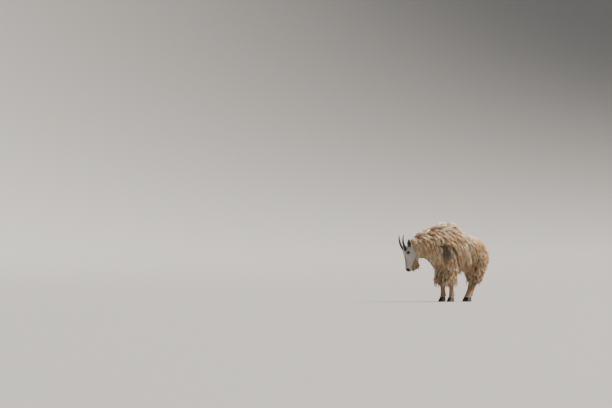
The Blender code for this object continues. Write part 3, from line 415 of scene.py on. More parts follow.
def mouth_line(along):
    """How far towards the forehead the lips meet, at a distance along the face."""
    t = np.clip((along - MOUTH_START) / (MOUTH_END - MOUTH_START), 0, 1) ** 1.25
    return MOUTH_BACK + (MOUTH_FRONT - MOUTH_BACK) * t


print(len(SKULL), "forms of the skull and", len(FACE_FORMS), "of the face")

# %% The head as a form
class HeadForm(Form):
    """The head: a loft with the swellings, hollows and lips of the skull and face."""

    LID, LID_BLEND = 0.0026, 0.0045  # how thick the lids are over the eye, and how softly they rise
    LIPS, LIP_WIDTH = 0.0016, 0.0032  # how proud the lips stand, and how wide each is

    def __init__(self):
        rows = []
        for s, side, high, low, coat_side, coat_high, coat_low in HEAD:
            spot = HEAD_ORIGIN + ALONG * s
            rows.append((*spot, side, high, low, coat_side, coat_high, coat_low, HEAD_NARROW))
        super().__init__(rows, BROW)

    def local(self, points):
        """Distance along, aside to the goat's right and towards the forehead."""
        away = points - HEAD_ORIGIN - OFFSET
        return away @ ALONG, away @ RIGHT, away @ BROW

    def point(self, place, angle, share):
        spot = super().point(place, angle, share)
        out = unit(spot - self.centre(place))
        for forms in (SKULL, FACE_FORMS):
            along, aside, brow = self.local(spot)
            lift = np.zeros(np.shape(along))
            for (a, b, c), (ra, rb, rc), height in forms:
                far = ((along - a) / ra) ** 2 + ((np.abs(aside) - b) / rb) ** 2 + ((brow - c) / rc) ** 2
                lift = lift + height * np.exp(-far)
            spot = spot + out * column(lift)
        along, aside, brow = self.local(spot)
        inside = ramp(along, MOUTH_START - 0.004, MOUTH_START + 0.012)
        off = brow - mouth_line(along)
        upper, lower = (np.exp(-(((off + shift) / self.LIP_WIDTH) ** 2)) for shift in (-0.0045, 0.0042))
        spot = spot + out * column(self.LIPS * (upper + lower) * inside)
        return self.over_eyes(spot)

    def over_eyes(self, spot):
        """Lifts the skin over the ball of each eye, so that the lids bulge."""
        shell = EYE_RADIUS + self.LID
        for side in SIDES:
            middle = eye_middle(side)
            away = spot - middle
            far = span(away)
            lifted = 0.5 * (far + shell + np.sqrt((far - shell) ** 2 + self.LID_BLEND**2))
            lifted = lifted - 0.5 * self.LID_BLEND
            look = unit(away) @ eye_look(side)
            reach = np.where(far < shell * 1.6, np.maximum(lifted, far), far)
            reach = far + (reach - far) * ramp(look, 0.0, 0.45)
            spot = middle + unit(away) * column(reach)
        return spot


head = HeadForm()
print("muzzle ends at", head_place(HEAD[-1][0], 0, 0, "left").round(3))

# %% [markdown]
# ## From rings of points to closed meshes
# Every form becomes a closed mesh in the same way: rings of points, faces between them and a fan over each
# end. The helper takes the points as one array, so that a dense skin costs no more to write than a coarse
# one. A finish can read any number that a mesh keeps on its points, such as the distance along a tuft.

# %% Meshes from arrays
def make_object(name, points, faces):
    """A mesh object from an array of points and an array, or a list of arrays, of faces."""
    groups = faces if isinstance(faces, list) else [faces]
    groups = [np.asarray(g, np.int32) for g in groups if len(g)]
    sizes = np.concatenate([np.full(len(g), g.shape[1], np.int32) for g in groups])
    data = bpy.data.meshes.new(name)
    data.vertices.add(len(points))
    data.vertices.foreach_set("co", np.asarray(points, np.float32).ravel())
    data.loops.add(int(sizes.sum()))
    data.loops.foreach_set("vertex_index", np.concatenate([g.ravel() for g in groups]))
    data.polygons.add(len(sizes))
    data.polygons.foreach_set("loop_start", (np.cumsum(sizes) - sizes).astype(np.int32))
    data.update(calc_edges=True)
    data.polygons.foreach_set("use_smooth", np.full(len(sizes), True))
    obj = bpy.data.objects.new(name, data)
    bpy.context.scene.collection.objects.link(obj)
    return obj


def keep(obj, **facts):
    """Stores numbers on the points of a mesh, where a finish can read them."""
    for name, values in facts.items():
        attribute = obj.data.attributes.new(name, "FLOAT", "POINT")
        attribute.data.foreach_set("value", np.asarray(values, np.float32))
    return obj


print("a mesh takes whole arrays of points, faces and facts")

# %% Closed meshes from grids
def face_outwards(obj):
    mesh = bmesh.new()
    mesh.from_mesh(obj.data)
    bmesh.ops.recalc_face_normals(mesh, faces=mesh.faces[:])
    if mesh.calc_volume(signed=True) < 0:
        bmesh.ops.reverse_faces(mesh, faces=mesh.faces[:])
    mesh.to_mesh(obj.data)
    mesh.free()
    return obj


def ring_faces(rings, around):
    """The numbers of the points ring by ring, those of their neighbours, and the faces between the rings."""
    index = np.arange(rings * around).reshape(rings, around)
    beside = np.roll(index, -1, axis=1)
    return index, beside, np.stack([index[:-1], beside[:-1], beside[1:], index[1:]], axis=-1).reshape(-1, 4)


def fan(first, second, middle):
    """Triangles from pairs of neighbours to one middle point."""
    return np.stack([first, second, np.full(len(first), middle)], axis=-1)


def closed_grid(name, grid):
    """The closed mesh through rings of points: grid is rings by points by 3."""
    index, beside, quads = ring_faces(*grid.shape[:2])
    fans = np.concatenate([fan(beside[0], index[0], index.size), fan(index[-1], beside[-1], index.size + 1)])
    points = np.concatenate([grid.reshape(-1, 3), [grid[0].mean(0), grid[-1].mean(0)]])
    return face_outwards(make_object(name, points, [quads, fans]))


print("two rings of 48 points have", len(ring_faces(2, 48)[2]), "faces between them")

# %% Skins of forms, and cuts
def skin_of(name, form, places, around, share):
    """The closed skin of a form at some places along it. share may be one number or one for each place."""
    angles = full_turn(around)
    place, angle = np.meshgrid(places, angles, indexing="ij")
    shares = np.broadcast_to(column(share) if np.ndim(share) else share, place.shape)
    return closed_grid(name, form.point(place, angle, shares))


def combine(target, others, operation):
    """Applies one Boolean with a collection of closed objects, then removes them."""
    group = bpy.data.collections.new("pieces")
    bpy.context.scene.collection.children.link(group)
    for other in others:
        group.objects.link(other)
    modifier = target.modifiers.new("combine", "BOOLEAN")
    modifier.operation = operation
    modifier.operand_type = "COLLECTION"
    modifier.collection = group
    modifier.solver = "MANIFOLD"
    graph = bpy.context.evaluated_depsgraph_get()
    data = bpy.data.meshes.new_from_object(target.evaluated_get(graph))
    target.modifiers.clear()
    target.data = data
    for other in others:
        bpy.data.objects.remove(other)
    bpy.data.collections.remove(group)
    return target


print("joins and cuts are made by one Boolean on a collection")

# %% [markdown]
# ## Ears
# An ear is a leaf of skin, rolled into a cup that opens forward and outward. A ring of its section is an
# outer arc and an inner arc, and the inner one flattens towards the base, where the ear turns solid.

# %% Shape the ears
EAR_BASE = (-0.052, 0.046, 0.020)
EAR_LENGTH, EAR_WIDTH, EAR_THICKNESS = 0.130, 0.029, 0.0040
EAR_DEPTH, EAR_BEND = 0.62, 0.014  # how deep the cup is for its width, and how far the tip bends over
EAR_PROFILE = [(0.55,), (0.80,), (1.0,), (1.0,), (0.84,), (0.56,), (0.16,)]
EAR_FILL = [(0.0,), (0.25,), (0.8,), (1.0,), (1.0,), (1.0,), (1.0,)]
EAR_STEPS, EAR_POINTS = 44, 18


def ear_frame(side):
    """Where an ear starts, the way it points, the way it opens and the way across it."""
    axis = head_direction(-0.84, 0.38, 0.28, side)
    opening = head_direction(0.35, 0.72, 0.62, side)
    opening = unit(opening - axis * (axis @ opening))
    return head_place(*EAR_BASE, side), axis, opening, np.cross(axis, opening)


def ear_grid(side):
    """Rings round an ear: the outer arc one way, the inner arc back."""
    base, axis, opening, across = ear_frame(side)
    bend = math.radians(100) * np.linspace(-1, 1, 2 * EAR_POINTS + 1)
    s, c = column(np.sin(bend)), column(np.cos(bend))
    rings = []
    for t in np.linspace(0, 1, EAR_STEPS):
        half = EAR_WIDTH * curve(EAR_PROFILE, t * (len(EAR_PROFILE) - 1))[0]
        fill = curve(EAR_FILL, t * (len(EAR_FILL) - 1))[0]
        spot = base + axis * EAR_LENGTH * t + opening * EAR_BEND * t * t
        deep = half * EAR_DEPTH
        thin = min(EAR_THICKNESS, half * 0.5)
        outer = spot + across * half * s - opening * deep * c
        hollow = (deep - thin) * c * fill - (1 - fill) * deep * 0.5
        inner = spot + across * (half - thin) * s - opening * hollow
        rings.append(np.concatenate([outer, inner[::-1]]))
    return np.array(rings)


ears = {side: closed_grid(f"ear_skin_{side}", ear_grid(side)) for side in SIDES}
print("each ear has", len(ears["left"].data.polygons), "faces")

# %% [markdown]
# ## One skin
# The trunk, head, legs, tail and ears are fused by one Boolean, so that no seam shows where the solids meet.
# Under the long coat the skin lies well inside the solids. On the face and the lower legs, where the hair is
# short, it lies just under their surface. The openings between the lids, the slit of the mouth and the
# nostrils are then cut with closed wedges.

# %% Fuse the skin
CORE = 0.40  # how far the skin reaches towards the tips, under long hair
SHORT = 0.55  # the same, under short hair
MUZZLE_STEP = 0.0014

runs = np.arange(HEAD[0][0], HEAD[-1][0], MUZZLE_STEP)
head_places = np.interp(runs, [row[0] for row in HEAD], np.arange(len(HEAD)))
head_places = np.append(head_places, head.last)
skin = skin_of("skin", trunk, np.linspace(0, trunk.last, 120), 96, CORE)


def leg_share(place):
    """Long hair at the top, short hair below the hem."""
    return CORE + (SHORT - CORE) * ramp(place, LEG_HEM - 1.2, LEG_HEM)


parts = [skin_of("head_skin", head, head_places, 208, SHORT), *ears.values()]
parts.append(skin_of("tail_skin", tail, np.linspace(0, tail.last, 30), 32, CORE))
for form in legs.values():
    places = np.linspace(0, form.last, 110)
    parts.append(skin_of("leg_skin", form, places, 44, leg_share(places)))
combine(skin, parts, "UNION")
print("the skin has", len(skin.data.polygons), "faces before the face is cut")

# %% The opening between the lids
LID_OPENING = math.radians(58)  # half the opening between the corners of the lids
UPPER_LID, LOWER_LID = 0.78, 0.60  # how far the lids stand apart, up and down


def eye_axes(side):
    """The way an eye looks, the way to its front corner and the way to its upper lid."""
    look = eye_look(side)
    corner = head_direction(1.0, 0.0, -0.12, side)
    corner = unit(corner - look * (look @ corner))
    upper = np.cross(look, corner)
    return look, corner, upper if upper @ BROW > 0 else -upper


def lid_heading(side, turn):
    """Directions from the middle of the eye to points of the rim of its lids."""
    look, corner, upper = eye_axes(side)
    swing = LID_OPENING * np.cos(turn)
    rise = np.sin(turn) * np.where(np.sin(turn) > 0, UPPER_LID, LOWER_LID)
    return unit(column(np.cos(swing)) * look + column(np.sin(swing)) * corner + column(rise) * upper)


def eye_cutter(side, steps=64):
    """The almond opening between the lids, as a wedge from inside the eye outwards."""
    middle = eye_middle(side)
    rim = lid_heading(side, full_turn(steps))
    inner = middle + eye_axes(side)[0] * 0.2 * EYE_RADIUS + rim * 0.05 * EYE_RADIUS
    return closed_grid("opening", np.array([inner, middle + rim * 1.7 * EYE_RADIUS]))


print("the lids open", round(math.degrees(2 * LID_OPENING)), "degrees from corner to corner")

# %% The slit of the mouth
def mouth_cutter(steps=24):
    """A thin wedge that follows the lips from one corner round to the other."""
    proud, deep, half = 0.006, 0.0055, 0.0012
    ts = np.linspace(0, 1, steps)
    rings = []
    for side, order in (("left", ts), ("right", ts[::-1])):
        for t in order:
            along = MOUTH_START + (MOUTH_END - MOUTH_START) * t
            low = mouth_line(along)
            place = np.interp(along, [row[0] for row in HEAD], np.arange(len(HEAD)))
            row = curve(HEAD, place)
            wide = (row[1] + SHORT * row[4]) * math.sqrt(max(0, 1 - (low / row[3]) ** 2))
            wide = wide * (1 - t**6) + 0.004 * t**6
            spot = head_place(along + 0.0065 * t**4, wide, low, side)
            out = unit(spot - head_place(along - 0.03 * t, 0, low, side))
            gape = BROW * half * 2 * min(1, 0.12 + 4 * t)
            cut = deep * min(1, 0.3 + 3 * t)
            rings.append([spot - out * cut, spot + out * proud + gape, spot + out * proud - gape])
    return closed_grid("mouth", np.array(rings))


print("the lips part over", round((MOUTH_END - MOUTH_START) * 1000), "mm on each side")

# %% Cut the lids, the lips and the nostrils
def nostril_cutter(side, rings=16, around=20):
    """The slit of one nostril: a long dent that curves towards the lip, widest at its upper end."""
    inward = head_direction(-0.50, -0.80, -0.20, side)
    slit = head_direction(0.55, -0.10, 0.75, side)
    slit = unit(slit - inward * (inward @ slit))
    across = np.cross(inward, slit)
    middle = head_place(0.217, 0.0240, 0.018, side)
    half, curl, half_width, half_depth = 0.0125, 0.0034, 0.0048, 0.0125
    grid = []
    for t in np.linspace(-0.98, 0.98, rings):
        bulge = math.sqrt(1 - t * t)
        centre = middle + slit * half * t + across * curl * t * t
        wide, deep = half_width * bulge * (1 + 0.40 * t), half_depth * bulge
        turn = column(full_turn(around))
        grid.append(centre + across * wide * np.cos(turn) + inward * deep * np.sin(turn))
    return closed_grid("nostril", np.array(grid))


cutters = [mouth_cutter(), *(eye_cutter(side) for side in SIDES), *(nostril_cutter(side) for side in SIDES)]
combine(skin, cutters, "DIFFERENCE")
skin.data.polygons.foreach_set("use_smooth", np.full(len(skin.data.polygons), True))
skin.data.set_sharp_from_angle(angle=math.radians(50))
print("the skin has", len(skin.data.polygons), "faces")

# %% [markdown]
# ## How a coat of hair is laid
# The coat is solid mesh: each tuft is a thin, three-sided blade that tapers to a point. Tufts are laid in
# four steps. Roots are scattered evenly over the forms. Each root gets a direction, the lie of the coat. A
# line is marched from the root over the skin, rising to the depth of the coat and drooping. Last, the lines
# of neighbours are drawn together towards the tip, which makes the locks of a shaggy coat.

# %% Scatter roots over a form
ROOT_SLACK = 0.004  # how far from the skin a scattered root may lie
skin_tree = BVHTree.FromObject(skin, bpy.context.evaluated_depsgraph_get())


def at(share, places):
    """The share at each place: a share is one number, or a function of the place."""
    return share(places) if callable(share) else np.full(len(places), share)


def scatter(form, start, end, spacing, share):
    """Places and angles spread evenly over a form, a spacing apart, a little out of line."""
    fine = np.linspace(start, end, 400)
    steps = span(np.diff(form.centre(fine), axis=0))
    reach = np.concatenate([[0], np.cumsum(steps)])
    rows = max(2, round(reach[-1] / spacing))
    turns = np.linspace(-math.pi, math.pi, 181)
    places, angles = [], []
    for row in range(rows):
        middle = (row + 0.5) / rows * reach[-1]
        place = np.interp(middle, reach, fine)
        stations = np.full(len(turns), place)
        ring = form.point(stations, turns, at(share, stations))
        round_reach = np.concatenate([[0], np.cumsum(span(np.diff(ring, axis=0)))])
        count = max(3, round(round_reach[-1] / spacing))
        wanted = (np.arange(count) + rng.random() + rng.uniform(-0.42, 0.42, count)) % count / count
        angles.append(np.interp(wanted * round_reach[-1], round_reach, turns))
        places.append(np.interp(middle + rng.uniform(-0.5, 0.5, count) * spacing, reach, fine))
    return np.concatenate(places), np.concatenate(angles)


def nearest(points):
    """The nearest spot of the skin to each point, and the way that it faces."""
    spots = np.empty_like(points)
    facing = np.empty_like(points)
    for k, point in enumerate(points):
        spot, normal, _, _ = skin_tree.find_nearest(point)
        spots[k] = spot
        facing[k] = normal
    return spots, facing


def rooted(form, start, end, spacing, share):
    """Roots on the open skin: those that lie inside another form are left out."""
    places, angles = scatter(form, start, end, spacing, share)
    points = form.point(places, angles, at(share, places))
    spots, facing = nearest(points)
    kept = span(points - spots) < ROOT_SLACK
    return chosen(kept, places, angles, spots, facing)


print("roots may stand within", ROOT_SLACK * 1000, "mm of the skin")

# %% March the hair over the skin
def march(roots, normals, lies, lengths, depths, droop, steps, root_depth=0.004, hold=0.5):
    """Lines of points, one for each root, and the outward side at each. hold presses them to the body."""
    here = roots.copy()
    out = normals.copy()
    heading = unit(lies - normals * dot(lies, normals) * 0.75)
    path, outs = [roots - normals * root_depth], [normals]
    for k in range(1, steps + 1):
        share = k / steps
        heading = unit(heading * (1 - droop) + DOWN * droop)
        here = here + heading * column(lengths / steps)
        spots, facing = nearest(here)
        height = dot(here - spots, facing)
        wanted = column(depths * share**0.75)
        here = np.where(height < wanted, spots + facing * wanted, here)
        proud = height > wanted * 1.15
        here = np.where(proud, here - facing * (height - wanted * 1.15) * hold, here)
        rising = np.maximum(dot(heading, facing), 0)
        heading = np.where(proud, unit(heading - facing * rising * hold), heading)
        flat = np.abs(dot(facing, heading)) < 0.8
        out = unit(np.where(flat, out + facing * 0.7, out))
        path.append(here)
        outs.append(out)
    return np.stack(path, 1), np.stack(outs, 1)


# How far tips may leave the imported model's box at its low and its high sides.
REACH_LOW, REACH_HIGH = (0.004, 0.006, 0.0), (0.004, 0.006, 0.018)


def within_box(path):
    """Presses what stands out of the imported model's box almost back to its sides."""
    low, high = np.array(cad_box[0]) - REACH_LOW, np.array(cad_box[1]) + REACH_HIGH
    path = np.where(path < low, low + (path - low) * 0.1, path)
    return np.where(path > high, high + (path - high) * 0.1, path)


print("tips stay about", max(REACH_HIGH) * 1000, "mm or less outside the packed model's box")

# %% Gather hair into locks
NEIGHBOURS = list(itertools.product((-1, 0, 1), repeat=3))


def gather(path, spacing, pull):
    """Draws lines towards those of the locks that they belong to, and says which lock and how far off."""
    roots = path[:, 0]
    order = rng.permutation(len(roots))
    tree = KDTree(len(roots))
    leaders, cells = [], {}
    for k in order:
        cell = tuple((roots[k] / spacing).astype(int))
        around = (cells.get((cell[0] + i, cell[1] + j, cell[2] + m)) for i, j, m in NEIGHBOURS)
        if all(n is None or np.linalg.norm(roots[n] - roots[k]) > spacing for n in around):
            if cell not in cells:
                cells[cell] = k
                leaders.append(k)
    for number, k in enumerate(leaders):
        tree.insert(roots[k], number)
    tree.balance()
    owner = np.array([tree.find(r)[1] for r in roots])
    lead = path[np.array(leaders)[owner]]
    steps = path.shape[1] - 1
    share = (np.arange(steps + 1) / steps)[None, :, None]
    pulls = pull[:, None, None]
    joined = lead + (path[:, :1] - lead[:, :1])
    blended = path + (joined - path) * share
    away = span(roots - lead[:, 0]) / spacing
    return blended * (1 - pulls * share) + lead * (pulls * share), owner, away


print("a lock's leader is sought in", len(NEIGHBOURS), "cells")

# %% The faces of one blade
# How wide a blade is at the start of each of its steps, by how many steps it has.
BLADE_WIDTHS = {2: (1.0, 0.7), 3: (0.8, 1.0, 0.62), 4: (0.75, 1.0, 0.85, 0.55), 5: (0.7, 1.0, 0.95, 0.8, 0.5)}
PATCH = 0.003  # how large a tuft is on the map that its colours are baked through


def patch_spot(vert, steps, under):
    """Where a corner lies in its tuft's patch: the underside has a strip of its own."""
    if vert == 3 * steps:
        return (0.4 if under else -0.1, 0.5)
    ring, corner = divmod(vert, 3)
    across = (0.5, None, 0.3) if under else (-0.5, -0.1, 0.3)
    return (across[corner], ring / steps - 0.5)


def blade_faces(steps):
    """The triangles of one blade, and where their corners lie in its patch."""
    faces, spots = [], []
    for k in range(steps):
        for corner, following in ((0, 1), (1, 2), (2, 0)):
            a, b = 3 * k + corner, 3 * k + following
            last = k == steps - 1
            for triangle in [(a, b, 3 * steps)] if last else [(a, b, b + 3), (a, b + 3, a + 3)]:
                faces.append(triangle)
                spots.append([patch_spot(vert, steps, corner == 2) for vert in triangle])
    faces.append((2, 1, 0))
    spots.append([(0.3, -0.5), (-0.1, -0.6), (-0.5, -0.5)])
    return np.array(faces), np.array(spots)


print("a tuft has", [len(blade_faces(steps)[0]) for steps in BLADE_WIDTHS], "triangles, by its steps")

# %% Turn lines of points into blades
def blades(name, path, outs, widths, thickness, spots, facts):
    """One mesh of closed three-sided blades. spots are their places on the map, facts their attributes."""
    count, points = path.shape[:2]
    steps = points - 1
    shape = np.array(BLADE_WIDTHS[steps])
    run = unit(path[:, 1:] - np.concatenate([path[:, :1], path[:, :-2]], 1))
    side = unit(np.cross(run, outs[:, :-1]))
    out = np.cross(side, run)
    half = (widths[:, None] * shape)[..., None] / 2
    crest = (thickness[:, None] * shape)[..., None]
    ring = np.stack([path[:, :-1] - side * half, path[:, :-1] + out * crest, path[:, :-1] + side * half], 2)
    verts = np.concatenate([ring.reshape(count, -1, 3), path[:, -1:]], 1)
    each = 3 * steps + 1
    faces, corners = blade_faces(steps)
    all_faces = (faces[None] + (np.arange(count) * each)[:, None, None]).reshape(-1, 3)
    obj = make_object(name, verts.reshape(-1, 3), all_faces)
    layer = obj.data.uv_layers.new(name="OFBake")
    layer.data.foreach_set("uv", (spots[:, None, None] + corners[None] * PATCH).astype(np.float32).ravel())
    along = np.append(np.repeat(np.arange(steps) / steps, 3), 1.0)
    repeated = {key: np.repeat(value, each) for key, value in facts.items()}
    return keep(obj, along=np.tile(along, count), **repeated)


print("a tuft takes", PATCH, "of the map's width")

# %% [markdown]
# ## Markings
# The skin and the coat over it carry the same markings, so both ask the same functions. They take places on
# the body and say how far each marking covers them: tan lower legs, a worn patch on the left shoulder where
# winter wool has come away, dark short hair with painted shade in its hollow, and painted shade along the
# parting behind the fore leg.

# %% Markings by place
SHED_PATCH = np.array((-0.512, -0.150, 0.680))
SHED_REACH = (0.050, 0.085)  # along the body and up
PARTING = [(0.38, -0.223), (0.547, -0.317), (0.665, -0.365), (0.77, -0.463)]  # height and x of the parting
FLEECE_EDGE = [(0.50, 0.00), (0.62, -0.03), (0.68, -0.11), (0.79, -0.165), (0.91, -0.13)]  # height and x


def along_line(line, points):
    """How far behind a line on the flank each point lies. The line gives its x at some heights."""
    heights, places = zip(*line)
    return points[:, 0] - OFFSET[0] - np.interp(points[:, 2], heights, places)


# The worn patch: shorter, darker hair, and in the finish painted shade in its hollow
def shed(points):
    away = (points - OFFSET - SHED_PATCH) / (SHED_REACH[0], 0.09, SHED_REACH[1])
    return ramp(-(away**2).sum(-1), -1.6, -0.4)


# The parting: shorter hair, and in the finish painted shade along it
def parting(points):
    off = along_line(PARTING, points)
    within = ramp(points[:, 2], 0.34, 0.42) * fall(points[:, 2], 0.72, 0.80)
    return np.exp(-((off / 0.016) ** 2)) * within * fall(points[:, 1], -0.12, -0.05)


def leg_tan(points):
    return fall(points[:, 2], 0.20, 0.36)


print("the worn patch has its middle at", (SHED_PATCH + OFFSET).round(3))

# %% [markdown]
# ## The lie of the coat
# Hair runs back along the crest, turns down over the shoulder and hangs down the flank, a little backwards.
# On the chest and the buttocks it falls straight. The turns between these are soft.

# %% The lie of the hair on each form
def toward(a, b, share):
    return a + (np.asarray(b) - a) * column(share)


def trunk_lie(normals, angles):
    turn = np.abs(angles)
    side = np.where(angles > 0, -1.0, 1.0)
    one = np.ones_like(side)
    crest = np.stack([0.9 * one, 0.22 * side * ramp(turn, 0.0, math.radians(14)), 0.16 * one], -1)
    shoulder = np.stack([0.62 * one, 0.45 * side, -0.45 * one], -1)
    flank = np.stack([0.42 * one, 0.10 * side, -0.9 * one], -1)
    lie = toward(crest, shoulder, ramp(turn, math.radians(16), math.radians(44)))
    lie = toward(lie, flank, ramp(turn, math.radians(46), math.radians(74)))
    chest = np.stack([0.15 * one, 0.2 * side, -one], -1)
    rump = np.stack([0.25 * one, 0.12 * side, -one], -1)
    lie = toward(lie, chest, fall(normals[:, 0], -0.75, -0.45))
    return toward(lie, rump, ramp(normals[:, 0], 0.20, 0.50))


def leg_lie(normals):
    return np.array((0.08, 0, -1.0)) + normals * 0.25


def head_lie(points, normals):
    """Down the face towards the lips, and back over the cheek and jaw."""
    along, aside, brow = head.local(points)
    back = fall(brow, -0.06, 0.02) + fall(brow, -0.07, -0.03) * fall(along, 0.08, 0.13)
    lie = ALONG - BROW * column(0.55 * back) - np.sign(column(aside)) * RIGHT * 0.05 + normals * 0.12
    for side in SIDES:
        away = points - eye_middle(side)
        lie = lie + unit(away) * column(1.2 * near(away, 0, EYE_RADIUS * 1.2, EYE_RADIUS * 2.6))
    return lie


lies = unit(trunk_lie(np.array([UP, (0.0, -1.0, 0.0)]), np.array((0.0, math.pi / 2))))
print("hair runs towards", lies[0].round(2), "on the crest and", lies[1].round(2), "on the flank")

# %% [markdown]
# ## Coats in pieces
# One object of all the tufts would be too heavy to handle, so a coat is cut across the body into a few
# pieces. Each tuft gets a small patch of its own on the piece's map, at the place of its root.

# %% Share a coat out in pieces
coat_pieces = []
PIECE_LIMIT = 190_000  # triangles
MAP_EDGE = 0.01  # the bare edge of a piece's map


def in_pieces(name, slot, path, outs, widths, thickness, spots, facts):
    """Blades in as many pieces as keep each under the limit, cut across the form."""
    triangles = len(path) * len(blade_faces(path.shape[1] - 1)[0])
    pieces = math.ceil(triangles / PIECE_LIMIT)
    order = np.argsort(spots[:, 1], kind="stable")
    for k, part in enumerate(np.array_split(order, pieces)):
        low, high = spots[part].min(0), spots[part].max(0)
        placed = MAP_EDGE + (1 - 2 * MAP_EDGE) * (spots[part] - low) / np.maximum(high - low, 1e-6)
        piece_facts = {key: value[part] for key, value in facts.items()}
        label = f"{name}_{k + 1}" if pieces > 1 else name
        obj = blades(label, path[part], outs[part], widths[part], thickness[part], placed, piece_facts)
        obj["slot"] = slot
        coat_pieces.append(obj)
    print(name, len(path), "tufts in", pieces, "pieces,", triangles, "triangles")


print("a piece of coat stays under", PIECE_LIMIT, "triangles")

# %% [markdown]
# ## How deep the coat is
# The tables give the depth at each station. On top of that, the winter fleece of the shoulders ends in a
# ragged edge that stands proud of the shorter coat behind it, the hair of the hump stands high and grows
# short behind it, and the rump is smooth.

# %% The edge of the winter fleece
def fleece_gap(roots):
    """1 in the shaded gap just behind the ragged edge."""
    off = along_line(FLEECE_EDGE, roots) + 0.010 * np.sin(roots[:, 2] * 70)
    return np.exp(-(((off - 0.012) / 0.022) ** 2)) * ramp(roots[:, 2], 0.52, 0.62)


def fleece_edge(roots):
    """1 along the ragged rear edge of the winter fleece, falling off ahead of it."""
    off = along_line(FLEECE_EDGE, roots) + 0.012 * np.sin(roots[:, 2] * 90)
    return np.exp(-(((off + 0.045) / 0.045) ** 2)) * (off < 0.0) * ramp(roots[:, 2], 0.52, 0.62)


print("the fleece ends", -FLEECE_EDGE[3][1], "m ahead of the tables' middle, high on the flank")

# %% The depth of the coat
# x along the trunk, and how many times as deep the coat is there on the crest
CREST = [
    (-0.85, 1.5),
    (-0.65, 1.6),
    (-0.55, 1.5),
    (-0.40, 1.4),
    (-0.32, 1.2),
    (-0.24, 0.95),
    (-0.16, 0.6),
    (-0.09, 0.35),
    (0.0, 0.4),
    (0.15, 0.6),
]


def fleece(roots, normals):
    """How many times as deep as in the tables the coat is at some roots."""
    off = along_line(FLEECE_EDGE, roots)
    behind = np.exp(-(((off - 0.03) / 0.06) ** 2)) * (off >= 0.0)
    x, z = roots[:, 0] - OFFSET[0], roots[:, 2]
    crest = (np.interp(x, *zip(*CREST)) - 1) * ramp(normals[:, 2], 0.40, 0.90)
    rump = 0.55 * ramp(x, 0.14, 0.28) * ramp(z, 0.58, 0.68)
    worn = (1 - 0.70 * shed(roots)) * (1 - 0.7 * parting(roots))
    flank = 1 - ramp(normals[:, 2], 0.50, 0.80)
    return (1 + (0.35 * fleece_edge(roots) - 0.45 * behind) * flank + crest) * (1 - rump) * worn


def leg_fleece(roots, normals):
    """The breeches flare towards their hem."""
    return fleece(roots, normals) * (1 + 0.35 * fall(roots[:, 2], 0.30, 0.50))


shares = [share for _, share in CREST]
print("on the crest the coat is", min(shares), "to", max(shares), "times as deep")

# %% The length of the tufts
NECK_START = 9.0  # the station where the trunk's coat becomes the neck's


def trunk_length(places, angles):
    degrees = np.degrees(np.abs(angles))
    crest = 0.115 + 0.055 * np.clip((places - 4) / 2, 0, 1)
    flank = 0.15 + 0.03 * np.clip((places - 4) / 2, 0, 1)
    flank = flank + (0.125 - flank) * np.clip((degrees - 90) / 90, 0, 1)
    return (crest + (flank - crest) * np.clip(degrees / 90, 0, 1)) * 0.9


def neck_length(places, angles):
    return 0.150 - 0.014 * (places - NECK_START)


def measured(length, *where):
    """A length is one number, or a function of the place."""
    return length(*where) if callable(length) else length


print("tufts on the shoulder are", trunk_length(7.0, math.pi / 2).round(3), "m long")

# %% [markdown]
# ## The long coat
# The shaggy wool of the trunk, mane and upper legs has two layers. The upper one is long and gathered into
# locks of two sizes, one inside the other. Under it lies a shorter one of wider tufts, painted dark as shade,
# so that no skin shows where the locks part. A few tufts fly away from their lock, and locks differ in
# colour, in the way they bend and in how they lift, because even rows would look combed.

# %% How a lock varies
GUARD_WIDTHS, UNDER_WIDTHS = (0.0026, 0.0046), (0.0036, 0.0054)
FLYAWAYS, FLYAWAY_LIFT = 0.06, 1.15  # how many leave their lock, and how much higher they stand
WANDER, FLYAWAY_WANDER = 0.11, 0.32  # how far a tuft turns from the lie of the coat
LOCK_WAVE, TUFT_WAVE = 0.009, 0.003  # how far a lock bends aside, and a tuft within it
LOCK_LIFT, TUFT_LIFT = 0.16, 0.06  # how unevenly they lift, as a share of the coat's depth
SMALL_LOCK = 0.40  # the size of the small locks, as a share of the large


def worn_ahead(roots, lies, lengths):
    """How far a hair would hang over the worn patch or the parting."""
    found = np.zeros(len(roots))
    for share in (0.25, 0.5, 0.75, 1.0):
        ahead = roots + unit(lies) * column(lengths * share)
        found = np.maximum(found, np.maximum(shed(ahead), 0.8 * parting(ahead)))
    return found


def behind_hump(roots, normals):
    """1 on the crest just behind the hump, where the hair is shorter."""
    x = roots[:, 0] - OFFSET[0]
    return ramp(normals[:, 2], 0.5, 0.9) * ramp(x, -0.32, -0.20) * fall(x, -0.02, 0.06)


def swayed(path, outs, owner, depths, normals):
    """Bends and lifts lines, a whole lock alike and each tuft a little on its own."""
    count, points = path.shape[:2]
    locks = owner.max() + 1
    side = unit(np.cross(path[:, 2] - path[:, 1], outs[:, 1]))
    shares = np.linspace(0, 1, points)
    wave = rng.uniform(-1, 1, locks)[owner] * LOCK_WAVE + rng.normal(0, TUFT_WAVE, count)
    turns = rng.uniform(1.2, 2.0, locks)[owner]
    path = path + side[:, None] * (wave[:, None] * np.sin(shares * math.pi * turns[:, None]))[..., None]
    lift = (rng.normal(0, LOCK_LIFT, locks)[owner] + rng.normal(0, TUFT_LIFT, count)) * depths
    lift = lift * (1 - 0.75 * ramp(normals[:, 2], 0.45, 0.85))
    return path + outs * (lift[:, None] * shares**1.5)[..., None]


print("one tuft in", round(1 / FLYAWAYS), "flies away from its lock")

